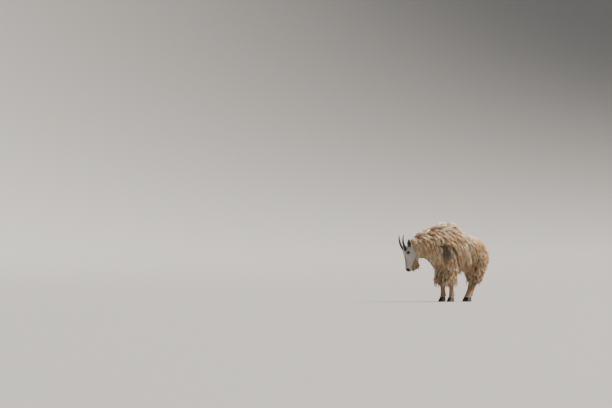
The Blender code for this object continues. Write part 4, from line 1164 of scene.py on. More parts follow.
# %% Grow a long coat
def long_coat(name, form, reach, share, spacing, length, lie, droop, lock, deepen, hold=0.6, under=False):
    """Long tufts in two sizes of lock over a reach of a form, or the shorter wool under them."""
    places, angles, roots, normals = rooted(form, *reach, spacing, share)
    count = len(places)
    depths = form.coat(places, angles) * (1 - at(share, places)) * deepen(roots, normals)
    depths = depths * (rng.uniform(0.25, 0.60, count) if under else rng.uniform(0.70, 1.14, count))
    lengths = measured(length, places, angles) * rng.uniform(0.70, 1.15, count) * (0.55 if under else 1.0)
    flyaway = rng.random(count) < FLYAWAYS
    depths = depths * np.where(flyaway, FLYAWAY_LIFT, 1.0)
    wander = rng.normal(0, 1, (count, 3)) * column(np.where(flyaway, FLYAWAY_WANDER, WANDER))
    lies = lie(normals, angles) + wander
    lengths = lengths * (1 - 0.72 * worn_ahead(roots, lies, lengths))
    lengths = lengths * (1 - 0.45 * behind_hump(roots, normals))
    path, outs = march(roots, normals, lies, lengths, depths, droop, 3 if under else 4, hold=hold)
    pulled = np.where(flyaway, 0.0, 1.0)
    path, _, beside = gather(path, lock * SMALL_LOCK, rng.uniform(0.35, 0.90, count) * pulled)
    path, owner, away = gather(path, lock, rng.uniform(0.30, 0.72, count) * pulled)
    path = within_box(swayed(path, outs, owner, depths, normals))
    widths = rng.uniform(*(UNDER_WIDTHS if under else GUARD_WIDTHS), count)
    # rim, under, root, gap and edge tell the finish where to paint: shade at lock rims, on the under layer,
    # at the roots (less at the neck's front) and in the gap behind the fleece's edge, and a highlight along
    # that edge
    facts = {
        "tone": rng.normal(0, 1, count),
        "lock_tone": rng.normal(0, 1, owner.max() + 1)[owner],
        "rim": np.clip(0.5 * away + 0.6 * beside, 0, 1),
        "under": np.full(count, float(under)),
        "shed": shed(roots),
        "parting": parting(roots),
        "tan": leg_tan(roots),
        "edge": fleece_edge(roots),
        "gap": fleece_gap(roots),
        "root": 1 - 0.75 * fall(roots[:, 0] - OFFSET[0], -0.76, -0.62),
    }
    spots = np.stack([(angles + math.pi) / math.tau, places / form.last], -1)
    in_pieces(name, "coat", path, outs, widths, widths * 0.38, spots, facts)


print("the long coat has tufts", [round(w * 1000, 1) for w in GUARD_WIDTHS], "mm wide")

# %% Grow it on trunk, neck, legs and tail
TRUNK_SPACING, NECK_SPACING, LEG_SPACING, TAIL_SPACING = 0.0072, 0.0066, 0.0066, 0.0056
UNDER_SPACING = 1.45  # how much further apart the tufts of the under layer stand
TRUNK_LOCK, NECK_LOCK, LEG_LOCK, TAIL_LOCK = 0.030, 0.026, 0.026, 0.022

for under in (True, False):
    layer, wide = ("under", UNDER_SPACING) if under else ("coat", 1.0)
    long_coat(
        f"{layer}_trunk", trunk, (0.0, NECK_START), CORE, TRUNK_SPACING * wide, trunk_length, trunk_lie, 0.16,
        TRUNK_LOCK, fleece, under=under,
    )
    long_coat(
        f"{layer}_neck", trunk, (NECK_START, trunk.last - 0.2), CORE, NECK_SPACING * wide, neck_length,
        trunk_lie, 0.16, NECK_LOCK, fleece, under=under,
    )
    for (pair, side), form in legs.items():
        long_coat(
            f"{layer}_{pair}leg_{side}", form, (0.0, LEG_HEM - 2.2), leg_share, LEG_SPACING * wide, 0.105,
            lambda normals, angles: leg_lie(normals), 0.2, LEG_LOCK, leg_fleece, hold=0.15, under=under,
        )
long_coat(
    "coat_tail", tail, (0.2, tail.last), CORE, TAIL_SPACING, 0.075,
    lambda normals, angles: DOWN + normals * 0.3, 0.25, TAIL_LOCK, fleece, hold=0.2,
)

# %% [markdown]
# ## Short hair
# On the face and the lower legs the hair is short and lies flat. Small tufts stand close together there, and
# grow longer over the cheek, the jaw and the poll. None grow on the nose, the lips, the lids or under the
# horns, so where the horns stand is settled first.

# %% Where the horns stand
HORN_BASE = (-0.020, 0.026, 0.052)
HORN_LENGTH, HORN_RADIUS = 0.222, 0.0185
HORN_FLAT = 0.94  # how wide a horn is, as a share of its depth
HORN_LEAN, HORN_CURL, HORN_SPREAD = math.radians(47), math.radians(58), math.radians(9)


def horn_spine(side, steps):
    """The middle line of a horn, which leans forward and curls back, and its radius along it."""
    along, aside, brow = HORN_BASE
    spots = []
    for k in range(steps + 1):
        spots.append(head_place(along, aside, brow, side))
        lean = HORN_LEAN - HORN_CURL * (k + 0.5) / steps
        step = HORN_LENGTH / steps
        along -= step * math.cos(lean)
        brow += step * math.sin(lean)
        aside += step * math.tan(HORN_SPREAD)
    left = 1 - np.arange(steps + 1) / steps
    return np.array(spots), np.maximum(HORN_RADIUS * left**0.54, 0.0006)


print("the left horn's tip is at", horn_spine("left", 40)[0][-1].round(3))

# %% Bare places of the head
def nose_pad(points):
    """The bare black skin between and round the nostrils."""
    along, aside, brow = head.local(points)
    top = 0.194 + 4 * aside**2
    pad = ramp(along - top, 0.0, 0.010) * ramp(brow, -0.006, 0.002) * fall(np.abs(aside), 0.030, 0.036)
    for side in SIDES:
        pad = np.maximum(pad, near(points, head_place(0.214, 0.028, 0.020, side), 0.012, 0.018))
    return pad


def bare(points):
    """Whether a place of the head has no tufts: the nose, the lips, the lids and under the horns."""
    along, aside, brow = head.local(points)
    nose = nose_pad(points) > 0.35
    lips = (along > MOUTH_START) & (np.abs(brow - mouth_line(along)) < 0.0045)
    found = nose | lips
    for side in SIDES:
        away = points - eye_middle(side)
        look = unit(away) @ eye_axes(side)[0]
        found |= (span(away) < EYE_RADIUS * 1.50) & (look > 0.72)
        for spot in horn_spine(side, 40)[0][:16:3]:
            found |= span(points - spot) < HORN_RADIUS * 0.95
    return found


print("the nose is bare:", bare(head_place(0.214, 0.0, 0.030, "left")[None])[0])

# %% Grow short tufts
SHORT_WIDTHS = (0.0011, 0.0019)
LIFT_LENGTH = 0.012  # a tuft of this length rises as far as its lift says


def short_coat(name, slot, form, start, end, share, spacing, length, lie, lift, dropped=None, extra=None):
    """Short flat tufts over part of a form, but none where dropped says so."""
    places, angles, roots, normals = rooted(form, start, end, spacing, share)
    if dropped is not None:
        kept = ~dropped(roots)
        places, angles, roots, normals = chosen(kept, places, angles, roots, normals)
    count = len(places)
    lengths = measured(length, roots) * rng.uniform(0.75, 1.2, count)
    depths = lift * rng.uniform(0.6, 1.2, count) * lengths / LIFT_LENGTH
    lies = lie(roots, normals) + rng.normal(0, 0.10, (count, 3))
    path, outs = march(roots, normals, lies, lengths, depths, 0.05, 2, 0.001)
    widths = rng.uniform(*SHORT_WIDTHS, count)
    facts = {"tone": rng.normal(0, 1, count), "tan": leg_tan(roots), **(extra(roots) if extra else {})}
    spots = np.stack([(angles + math.pi) / math.tau, places / form.last], -1)
    in_pieces(name, slot, path, outs, widths, widths * 0.3, spots, facts)


print("a short tuft has", len(blade_faces(2)[0]), "triangles")

# %% Grow the hair of the head
FACE_SPACING, LOWER_LEG_SPACING = 0.0025, 0.0040


def face_length(roots):
    """Short down the face, longer over the jaw, the cheek and the poll."""
    along, aside, brow = head.local(roots)
    jaw = fall(brow, -0.07, -0.03) * fall(along, 0.13, 0.17)
    poll = fall(along, -0.080, -0.020)
    cheek = fall(brow, -0.080, -0.040) * fall(along, 0.07, 0.12)
    short = 0.0045 * ramp(along, 0.14, 0.20)
    return 0.0105 + 0.012 * jaw + 0.034 * cheek + 0.034 * poll - short


def face_marks(roots):
    """The brown stripe down the front of the face, the dark places round the horns, and dark rims and painted
    shade round the eyes.
    """
    along, aside, brow = head.local(roots)
    front = ramp(brow, 0.022, 0.040) * fall(np.abs(aside), 0.012, 0.030) * ramp(along, 0.02, 0.07)
    return {"front": front, "gland": gland(roots)}


def gland(points):
    """The dark glands behind the horns, the dark roots of the horns, and the dark rims of the eyes with
    painted shade round them.
    """
    found = np.zeros(len(points))
    for side in SIDES:
        found = np.maximum(found, near(points, head_place(-0.046, 0.030, 0.066, side), 0.014, 0.030))
        for spot in horn_spine(side, 40)[0][:8:2]:
            found = np.maximum(found, near(points, spot, 0.020, 0.027))
        # painted shade round each eye, over its dark rim
        rim = near(points, eye_middle(side), EYE_RADIUS * 1.3, EYE_RADIUS * 2.1)
        found = np.maximum(found, 0.85 * rim)
    return found


short_coat(
    "hair_head", "face_hair", head, 0.0, head.last - 1.5, SHORT, FACE_SPACING, face_length, head_lie, 0.0030,
    bare, face_marks,
)

# %% Grow the hair of the lower legs
for (pair, side), form in legs.items():
    short_coat(
        f"hair_{pair}leg_{side}", "leg_hair", form, LEG_HEM - 2.4, form.last - 0.05, leg_share,
        LOWER_LEG_SPACING, 0.014, lambda roots, normals: leg_lie(normals), 0.0028,
    )

# %% [markdown]
# ## The beard
# It hangs from under the jaw and behind the chin, in a few long locks that swing back towards the chest. It
# is golden at the chin and as pale as the face where it starts behind the cheek.

# %% Grow the beard
# distance along the head | length of the beard
BEARD_LENGTHS = [(0.020, 0.070), (0.062, 0.100), (0.09, 0.130), (0.125, 0.145), (0.165, 0.075)]
BEARD_HALF = math.radians(56)  # how far it reaches up each side of the jaw
BEARD_REACH, BEARD_SPACING = (4.2, 9.3), 0.0028  # the stations of the head that it grows between
BEARD_DEPTH, BEARD_WIDTHS = 0.034, (0.0020, 0.0031)


def grow_beard():
    places, angles, roots, normals = rooted(head, *BEARD_REACH, BEARD_SPACING, SHORT)
    along, aside, brow = head.local(roots)
    kept = (np.abs(np.abs(angles) - math.pi) < BEARD_HALF) & (along > BEARD_LENGTHS[0][0])
    places, angles, roots, normals, along = chosen(kept, places, angles, roots, normals, along)
    count = len(places)
    middle = 1 - (np.abs(np.abs(angles) - math.pi) / BEARD_HALF) ** 2
    lengths = np.interp(along, *zip(*BEARD_LENGTHS))
    lengths = lengths * (0.55 + 0.45 * middle) * rng.uniform(0.70, 1.12, count)
    lies = DOWN - BROW * 2.0 + normals * 0.1 + rng.normal(0, 0.10, (count, 3))
    path, outs = march(roots, normals, lies, lengths, np.full(count, BEARD_DEPTH), 0.24, 5, hold=0.0)
    path, _, _ = gather(path, 0.008, rng.uniform(0.3, 0.8, count))
    path, owner, away = gather(path, 0.020, rng.uniform(0.10, 0.40, count))
    locks = owner.max() + 1
    widths = rng.uniform(*BEARD_WIDTHS, count)
    facts = {
        "tone": rng.normal(0, 1, count),
        "lock_tone": rng.normal(0, 1, locks)[owner],
        "rim": np.clip(away, 0, 1),
        "gold": ramp(along, 0.04, 0.10),
    }
    spots = np.stack([(angles % math.tau) / math.tau, places / head.last], -1)
    in_pieces("beard", "face_hair", path, outs, widths, widths * 0.4, spots, facts)


grow_beard()

# %% [markdown]
# ## Hair on the ears
# Short hair runs to the tip on the back of an ear, and longer pale hair lines its rims and hangs in the cup.

# %% Grow the hair of the ears
EAR_TUFTS, EAR_TUFT_WIDTHS = 1500, (0.0020, 0.0030)


def grow_ear(side):
    """Tufts over the outside, the rims and the cup of one ear."""
    grid = ear_grid(side)
    base, axis, opening, across = ear_frame(side)
    rows, around = grid.shape[:2]
    outer = 2 * EAR_POINTS + 1
    row, turn = rng.uniform(3, rows - 1.2, EAR_TUFTS), rng.uniform(0, around, EAR_TUFTS)
    a, b = row.astype(int), turn.astype(int) % around
    points = grid[a, b] + (grid[a, (b + 1) % around] - grid[a, b]) * column(turn % 1)
    points = points + (grid[a + 1, b] - grid[a, b]) * column(row % 1)
    roots, normals = nearest(points)
    kept = span(points - roots) < 0.003
    roots, normals, turn, row = chosen(kept, roots, normals, turn, row)
    count = len(roots)
    inside = (turn > outer).astype(float)
    rim = sum(np.exp(-(((turn - edge) / 3) ** 2)) for edge in (outer, 0, around))
    lengths = (0.012 + 0.012 * rim + 0.006 * inside) * rng.uniform(0.8, 1.2, count)
    lies = axis + normals * (0.15 + 0.25 * column(rim)) + rng.normal(0, 0.10, (count, 3))
    path, outs = march(roots, normals, lies, lengths, np.full(count, 0.002), 0.02, 2, 0.001)
    widths = rng.uniform(*EAR_TUFT_WIDTHS, count)
    inner = inside * (1 - np.clip(rim, 0, 1))
    facts = {"tone": rng.normal(0, 1, count), "inner": inner, "tan": np.zeros(count)}
    spots = np.stack([turn / around, row / rows], -1)
    in_pieces(f"hair_ear_{side}", "face_hair", path, outs, widths, widths * 0.3, spots, facts)


for side in SIDES:
    grow_ear(side)

# %% [markdown]
# ## Horns
# A mountain goat's horns are slim black daggers that rise and curl back, with growth rings crowded near the
# base and a smooth tip. The horn is a smooth loft, and a node tree raises its rings: it moves each point
# along its normal by a wave of the distance along the horn, which fades towards the tip.

# %% The rings, as a node tree
HORN_RINGS, RING_HEIGHT = 15.0, 0.00075


def ring_tree(material):
    tree = bpy.data.node_groups.new("growth rings", "GeometryNodeTree")
    for name, way, kind in (
        ("Geometry", "INPUT", "Geometry"),
        ("Rings", "INPUT", "Float"),
        ("Height", "INPUT", "Float"),
        ("Geometry", "OUTPUT", "Geometry"),
    ):
        tree.interface.new_socket(name, in_out=way, socket_type=f"NodeSocket{kind}")
    start, end = tree.nodes.new("NodeGroupInput"), tree.nodes.new("NodeGroupOutput")

    def node(kind, inputs, **settings):
        made = tree.nodes.new(kind)
        for key, value in settings.items():
            setattr(made, key, value)
        for key, value in inputs.items():
            if isinstance(value, bpy.types.NodeSocket):
                tree.links.new(value, made.inputs[key])
            else:
                made.inputs[key].default_value = value
        return made.outputs[0]

    along = node("GeometryNodeInputNamedAttribute", {"Name": "along"}, data_type="FLOAT")
    crowded = node("ShaderNodeMath", {0: along, 1: 0.75}, operation="POWER")
    turns = node("ShaderNodeMath", {0: crowded, 1: start.outputs["Rings"]}, operation="MULTIPLY")
    phase = node("ShaderNodeMath", {0: turns, 1: math.tau}, operation="MULTIPLY")
    wave = node("ShaderNodeMath", {0: phase}, operation="SINE")
    left = node("ShaderNodeMath", {0: 0.72, 1: along}, operation="SUBTRACT")
    fade = node("ShaderNodeMath", {0: left, 1: 1.6}, operation="MULTIPLY", use_clamp=True)
    raised = node("ShaderNodeMath", {0: wave, 1: fade}, operation="MULTIPLY")
    height = node("ShaderNodeMath", {0: raised, 1: start.outputs["Height"]}, operation="MULTIPLY")
    normal = node("GeometryNodeInputNormal", {})
    offset = node("ShaderNodeVectorMath", {0: normal, "Scale": height}, operation="SCALE")
    moved = node("GeometryNodeSetPosition", {"Geometry": start.outputs["Geometry"], "Offset": offset})
    realised = node("GeometryNodeRealizeInstances", {"Geometry": moved})
    finished = node("GeometryNodeSetMaterial", {"Geometry": realised, "Material": material})
    tree.links.new(finished, end.inputs["Geometry"])
    return tree


print("each horn has", HORN_RINGS, "rings,", RING_HEIGHT * 1000, "mm high")

# %% Run a node tree on an object
def through_nodes(obj, tree, **inputs):
    """Runs a node tree on an object and keeps the result as a plain mesh."""
    modifier = obj.modifiers.new("nodes", "NODES")
    modifier.node_group = tree
    for item in tree.interface.items_tree:
        if item.in_out == "INPUT" and item.name in inputs:
            modifier[item.identifier] = inputs[item.name]
    graph = bpy.context.evaluated_depsgraph_get()
    data = bpy.data.meshes.new_from_object(obj.evaluated_get(graph))
    obj.modifiers.clear()
    obj.data = data
    return obj


print("what a node tree makes is kept as a plain mesh")

# %% Shape the horns
def horn_grid(side, steps=150, around=32):
    spots, radii = horn_spine(side, steps)
    turn = column(full_turn(around))
    grid = []
    for k in range(steps + 1):
        run = unit(spots[min(k + 1, steps)] - spots[max(k - 1, 0)])
        across = unit(RIGHT - run * (run @ RIGHT))
        ring = across * np.cos(turn) * HORN_FLAT + np.cross(run, across) * np.sin(turn)
        grid.append(spots[k] + ring * radii[k])
    return np.array(grid)


def along_grid(grid):
    """The distance along a closed grid, from 0 to 1, at each point of its mesh."""
    rings, around = grid.shape[:2]
    return np.append(np.repeat(np.arange(rings) / (rings - 1), around), (0.0, 1.0))


print("a horn is a grid of", horn_grid("left").shape[:2], "points")

# %% [markdown]
# ## Finishes
# A finish is a node tree. Writing one out socket by socket hides the idea, so a small class wraps a socket
# and lets sums be written as sums. Everything else comes from one method that makes any node.

# %% Sums of sockets
class Wire:
    """An output of a shader node that can be used in sums."""

    def __init__(self, finish, socket):
        self.finish = finish
        self.socket = socket

    def _sum(self, operation, a, b, clamp=False):
        return self.finish.node("ShaderNodeMath", {"operation": operation, "use_clamp": clamp}, {0: a, 1: b})

    def __add__(self, other):
        return self._sum("ADD", self, other)

    def __radd__(self, other):
        return self._sum("ADD", other, self)

    def __sub__(self, other):
        return self._sum("SUBTRACT", self, other)

    def __rsub__(self, other):
        return self._sum("SUBTRACT", other, self)

    def __mul__(self, other):
        return self._sum("MULTIPLY", self, other)

    def __rmul__(self, other):
        return self._sum("MULTIPLY", other, self)

    def clamped(self):
        return self._sum("ADD", self, 0.0, clamp=True)

    def step(self, low, high):
        """0 below low, 1 above high and a soft step between."""
        reach = {"Value": self, "From Min": low, "From Max": high}
        return self.finish.node("ShaderNodeMapRange", {"interpolation_type": "SMOOTHSTEP"}, reach)


print("a socket can be added, subtracted and multiplied")

# %% A material whose nodes are made by one method
class Finish:
    """A material whose nodes are made by one method."""

    def __init__(self, name, **constants):
        self.material = bpy.data.materials.new(name)
        self.material.use_nodes = True
        self.nodes = self.material.node_tree.nodes
        self.links = self.material.node_tree.links
        self.shader = self.nodes["Principled BSDF"]
        for key, value in constants.items():
            self.shader.inputs[key.replace("_", " ")].default_value = value

    def node(self, kind, settings=None, inputs=None, output=0):
        made = self.nodes.new(kind)
        for key, value in (settings or {}).items():
            setattr(made, key, value)
        for key, value in (inputs or {}).items():
            if isinstance(value, Wire):
                self.links.new(value.socket, made.inputs[key])
            else:
                made.inputs[key].default_value = value
        return Wire(self, made.outputs[output])

    def fact(self, name):
        """A number that the mesh carries, such as a tuft's tone."""
        return self.node("ShaderNodeAttribute", {"attribute_name": name}, output=2)

    def mix(self, factor, a, b):
        """From colour a to colour b."""
        a, b = (colour if isinstance(colour, Wire) else (*colour, 1) for colour in (a, b))
        return self.node("ShaderNodeMix", {"data_type": "RGBA"}, {0: factor, 6: a, 7: b}, output=2)

    def place(self):
        return self.node("ShaderNodeTexCoord", output="Object")

    def height(self):
        """How far up a place is, in metres."""
        return self.node("ShaderNodeSeparateXYZ", None, {0: self.place()}, output=2)

    def noise(self, scale, detail=3.0, stretch=None):
        where = self.place()
        if stretch:
            where = self.node("ShaderNodeMapping", None, {"Vector": where, "Scale": stretch})
        return self.node("ShaderNodeTexNoise", None, {"Vector": where, "Scale": scale, "Detail": detail})

    def wear(self, **sockets):
        """Links values to the shader's own sockets."""
        for key, value in sockets.items():
            self.links.new(value.socket, self.shader.inputs[key.replace("_", " ")])
        return self.material

    def bump(self, height, strength, distance):
        values = {"Height": height, "Strength": strength, "Distance": distance}
        return self.node("ShaderNodeBump", None, values)


print("finishes are written with Wire and Finish")

# %% [markdown]
# ## Finishes of the hair
# A tuft of the long coat is dark at its root, a painted shade where wool shades wool, cream along its length
# and tan at a worn tip. Each tuft and each lock has a tone of its own, the high parts of the coat get a
# painted highlight, the rims of locks, the under layer and the gap behind the fleece's edge get painted
# shade, the edge itself a painted highlight, and the markings tint all of it.

# %% Colours of the hair
CREAM, PALE = (0.88, 0.67, 0.42), (0.96, 0.86, 0.70)
TAN, GOLD = (0.55, 0.30, 0.12), (0.42, 0.27, 0.13)
DEEP_SHADOW, BLACK_AND_SHADOW = (0.110, 0.055, 0.024), (0.065, 0.055, 0.050)  # painted shade in the wool; near black for glands, dark hair and painted shade
GREY_FACE, WHITE_FACE, BROWN_FACE = (0.56, 0.54, 0.52), (0.84, 0.82, 0.78), (0.22, 0.13, 0.07)
JAW, BROWN_LEG = (0.68, 0.60, 0.49), (0.33, 0.21, 0.12)
print("the wool runs from", TAN, "to", PALE)

# %% Long wool
def long_wool():
    f = Finish("long wool", Roughness=0.75, Sheen_Weight=0.15, Sheen_Roughness=0.5)
    along, tone, lock = f.fact("along"), f.fact("tone"), f.fact("lock_tone")
    rim, under = f.fact("rim"), f.fact("under")
    wide = f.noise(9.0, 2.0)
    body = f.mix((lock * 0.20 + tone * 0.12 + wide * 1.1 + 0.02).clamped(), TAN, CREAM)
    # Painted highlight along the rear edge of the winter fleece, where the ridge catches the light
    body = f.mix((lock * 0.28 + tone * 0.22 + 0.10 + f.fact("edge") * 0.9).clamped(), body, PALE)
    tipped = f.mix((along.step(0.6, 1.0) * (0.25 - lock * 0.25)).clamped(), body, TAN)
    # Painted shade: dark at the roots, at the rims of locks and on the whole under layer, less on the
    # fleece's edge
    depth = (1.0 - along.step(0.0, 0.65)) * 0.90 * f.fact("root")
    depth = depth + rim * (1.0 - along * 0.5) * 0.60 + under * 0.60
    shaded = f.mix((depth * (1.0 - f.fact("edge") * 0.5)).clamped(), tipped, DEEP_SHADOW)
    legged = f.mix((f.fact("tan") * 0.75).clamped(), shaded, BROWN_LEG)
    # Painted highlight: the high parts of the coat are paler, as where the light falls from above
    top_light = f.height().step(0.72, 0.98) * (0.30 + lock * 0.30) * along.step(0.1, 0.5)
    top_lit = f.mix(top_light.clamped(), legged, PALE)
    # Painted shadow in the gap behind the fleece's ragged edge
    gap = f.mix((f.fact("gap") * 0.65).clamped(), top_lit, DEEP_SHADOW)
    # Painted shade over the worn patch, with its own dark short hair, and painted shade along the parting
    marked = f.mix((f.fact("shed") * 0.85 + f.fact("parting") * 0.75).clamped(), gap, BLACK_AND_SHADOW)
    return f.wear(Base_Color=marked)


wool = long_wool()
print("the wool's finish has", len(wool.node_tree.nodes), "nodes")

# %% Short hair
def short_hair():
    f = Finish("short hair", Roughness=0.7, Sheen_Weight=0.1, Sheen_Roughness=0.5)
    along, tone = f.fact("along"), f.fact("tone")
    patches = f.noise(40.0, 2.0)
    body = f.mix((patches * 0.8 + tone * 0.10).clamped(), GREY_FACE, WHITE_FACE)
    body = f.mix((1.0 - along.step(0.0, 0.9)) * 0.30, body, TAN)
    body = f.mix((f.fact("front") * 0.60).clamped(), body, BROWN_FACE)
    # Dark glands and horn roots, and painted shade round the eyes
    body = f.mix((f.fact("gland") * 0.92).clamped(), body, BLACK_AND_SHADOW)
    brown = f.mix((f.noise(28.0, 3.0).step(0.35, 0.70) + tone * 0.15).clamped(), BROWN_LEG, TAN)
    legged = f.mix((f.fact("tan") * 0.95).clamped(), body, brown)
    inner = f.mix(f.fact("inner"), legged, BLACK_AND_SHADOW)
    return f.wear(Base_Color=inner)


hair = short_hair()
print("the short hair's finish has", len(hair.node_tree.nodes), "nodes")

# %% The beard's hair
def beard_hair():
    f = Finish("beard hair", Roughness=0.6, Sheen_Weight=0.1, Sheen_Roughness=0.5)
    along, tone, lock = f.fact("along"), f.fact("tone"), f.fact("lock_tone")
    body = f.mix((0.32 + lock * 0.22 + tone * 0.15).clamped(), GOLD, CREAM)
    body = f.mix(((1.0 - f.fact("gold")) * 0.75).clamped(), body, JAW)
    body = f.mix((f.fact("gold") * along.step(0.1, 0.7) * 0.45).clamped(), body, GOLD)
    # Painted shade at the roots and rims of the beard's locks
    depth = (1.0 - along.step(0.0, 0.5)) * 0.6 + f.fact("rim") * 0.25
    return f.wear(Base_Color=f.mix(depth.clamped(), body, DEEP_SHADOW))


hair_finishes = {"coat": wool, "under": wool, "hair": hair, "beard": beard_hair()}
for piece in coat_pieces:
    piece.data.materials.append(hair_finishes[piece.name.split("_")[0]])
print(len(coat_pieces), "pieces of coat have their finish")

# %% [markdown]
# ## The finish of the skin
# The skin shows on the nose, the lips and the lids, inside the ears and between tufts. Its markings are
# worked out at its own points by the same functions that tint the tufts, and kept as attributes. A fine,
# stretched noise is the nap of the short hair.

# %% Mark the skin
def nose_mark(points):
    """The bare black nose and the dark lips."""
    along, aside, brow = head.local(points)
    pad = nose_pad(points)
    lips = np.exp(-(((brow - mouth_line(along)) / 0.0035) ** 2)) * ramp(along, 0.158, 0.172)
    return np.clip(pad + lips * (along < 0.26), 0, 1)


def lid_mark(points):
    """The dark rims of the lids."""
    found = np.zeros(len(points))
    for side in SIDES:
        away = points - eye_middle(side)
        look, corner, upper = eye_axes(side)
        heading = unit(away)
        swing = np.arcsin(np.clip(heading @ corner, -1, 1)) / LID_OPENING
        rise = (heading @ upper) / np.where(heading @ upper > 0, UPPER_LID, LOWER_LID)
        edge = np.hypot(swing, rise)
        around = (span(away) < EYE_RADIUS * 1.5) & (heading @ look > 0.2)
        found = np.maximum(found, around * fall(edge, 1.08, 1.35))
    return found


def body_mark(points):
    """Where the long coat grows: everywhere but on the head, the ears and the lower legs."""
    along, aside, brow = head.local(points)
    on_head = (along > -0.10) & (along < 0.26) & (np.abs(aside) < 0.075) & (np.abs(brow) < 0.13)
    return ramp(points[:, 2], 0.20, 0.25) * (1 - on_head)


def cup_mark(points):
    """The dark inside of each ear."""
    found = np.zeros(len(points))
    for side in SIDES:
        base, axis, opening, across = ear_frame(side)
        away = points - base
        t = away @ axis / EAR_LENGTH
        rise = away @ opening - EAR_BEND * t**2
        within = (t > 0.02) & (t < 1.02) & (np.abs(away @ across) < EAR_WIDTH * 0.86)
        within &= (rise < -0.002) & (rise > -EAR_DEPTH * EAR_WIDTH + 0.0025)
        found = np.maximum(found, within & (span(away) < 0.15))
    return found


skin_points = np.empty(len(skin.data.vertices) * 3)
skin.data.vertices.foreach_get("co", skin_points)
skin_points = skin_points.reshape(-1, 3)
keep(
    skin, nose=nose_mark(skin_points), lids=lid_mark(skin_points), body=body_mark(skin_points),
    tan=leg_tan(skin_points), ear_cup=cup_mark(skin_points), **face_marks(skin_points),
)
print("the skin is marked at", len(skin_points), "points")

# %% The finish of the hide
def skin_finish():
    f = Finish("hide", Specular_IOR_Level=0.22)
    nap = f.noise(900.0, 3.0, (1.0, 1.0, 0.18))
    patches = f.noise(40.0, 2.0)
    face = f.mix((patches * 0.7 + nap * 0.3).clamped(), (0.50, 0.46, 0.41), (0.76, 0.71, 0.64))
    face = f.mix((f.fact("front") * 0.60).clamped(), face, BROWN_FACE)
    legged = f.mix((f.fact("tan") * 0.95).clamped(), face, BROWN_LEG)
    # Painted shade: the skin under the long coat is as dark as the shade in the wool
    under = f.mix(f.fact("body"), legged, DEEP_SHADOW)
    cup = f.mix(f.fact("ear_cup") * 0.85, under, (0.09, 0.07, 0.06))
    bare_skin = (f.fact("nose") + f.fact("lids")).clamped()
    pores = f.noise(1400.0, 2.0)
    leather = f.mix(pores, (0.006, 0.006, 0.006), (0.022, 0.019, 0.018))
    # Dark glands and horn roots, and painted shade round the eyes
    dark = f.mix((f.fact("gland") * 0.9).clamped(), cup, BLACK_AND_SHADOW)
    colour = f.mix(bare_skin, dark, leather)
    rough = 0.72 - bare_skin * 0.34
    height = nap * (1.0 - bare_skin) + pores * bare_skin * 0.5
    return f.wear(Base_Color=colour, Roughness=rough, Normal=f.bump(height, 0.5, 0.0012))


skin.data.materials.clear()
skin.data.materials.append(skin_finish())
print("the hide's finish has", len(skin.data.materials[0].node_tree.nodes), "nodes")

# %% Finish the horns
def horn_finish():
    f = Finish("horn", Specular_IOR_Level=0.28)
    along = f.fact("along")
    grain = f.noise(160.0, 4.0, (1.0, 1.0, 0.15))
    scuffs = f.noise(45.0, 3.0).step(0.55, 0.75)
    colour = f.mix(grain, (0.004, 0.004, 0.004), (0.018, 0.016, 0.015))
    colour = f.mix((scuffs * (1.0 - along.step(0.2, 0.8)) * 0.5).clamped(), colour, (0.075, 0.065, 0.055))
    rough = 0.45 - along * 0.15 + scuffs * 0.15
    return f.wear(Base_Color=colour, Roughness=rough, Normal=f.bump(grain, 0.35, 0.0006))


rings = ring_tree(horn_finish())
horns = {}
for side in SIDES:
    grid = horn_grid(side)
    horn = keep(closed_grid(f"horn_{side}_ringed", grid), along=along_grid(grid))
    horns[side] = through_nodes(horn, rings, Rings=HORN_RINGS, Height=RING_HEIGHT)
print("each horn has", len(horns["left"].data.polygons), "faces")

# %% [markdown]
# ## Eyes
# A goat's eye is a dark amber ball with a pupil like a level slot. The clear cornea bulges a little in front.
# The ball is built round the way the eye looks, so each point knows how far it is from the middle of the iris
# and from the slot, and the finish paints by those two numbers.

# %% Shape and finish the eyes
CORNEA, CORNEA_SPREAD = 0.0010, 0.55  # how far it bulges, and over what angle from the middle
PUPIL = (0.40, 0.13)  # half its width and half its height, as angles


def eye_piece(side, rings=56, around=64):
    look, corner, upper = eye_axes(side)
    level = unit(np.cross(look, np.cross(UP, look)))
    across, above = unit(np.cross(level, look)), level
    middle = eye_middle(side)
    polar = np.linspace(0.01, math.pi - 0.01, rings)
    turn = full_turn(around)
    p, t = np.meshgrid(polar, turn, indexing="ij")
    round_look = across * column(np.cos(t)) + above * column(np.sin(t))
    heading = look * column(np.cos(p)) + round_look * column(np.sin(p))
    radius = EYE_RADIUS + CORNEA * np.exp(-((p / CORNEA_SPREAD) ** 2))
    obj = closed_grid(f"eyeball_{side}", middle + heading * column(radius))
    away = np.append(np.degrees(p).ravel(), (0.0, 180.0))
    wide = np.append((p * np.cos(t)).ravel(), (0.0, 9.0))
    tall = np.append((p * np.sin(t)).ravel(), (0.0, 9.0))
    return keep(obj, away=away, slot=np.maximum(np.abs(wide) / PUPIL[0], np.abs(tall) / PUPIL[1]))


def eye_finish():
    f = Finish("eye", Roughness=0.07, Specular_IOR_Level=0.22)
    rays = f.noise(700.0, 2.0)
    iris = f.mix(rays, (0.010, 0.005, 0.003), (0.045, 0.021, 0.008))
    ringed = f.mix(f.fact("away").step(34.0, 46.0), iris, (0.006, 0.005, 0.004))
    return f.wear(Base_Color=f.mix(1.0 - f.fact("slot").step(0.9, 1.1), ringed, (0.002, 0.002, 0.002)))


eye_paint = eye_finish()
eyes = {side: eye_piece(side) for side in SIDES}
for ball in eyes.values():
    ball.data.materials.append(eye_paint)
print("each eye has", len(eyes["left"].data.polygons), "faces")

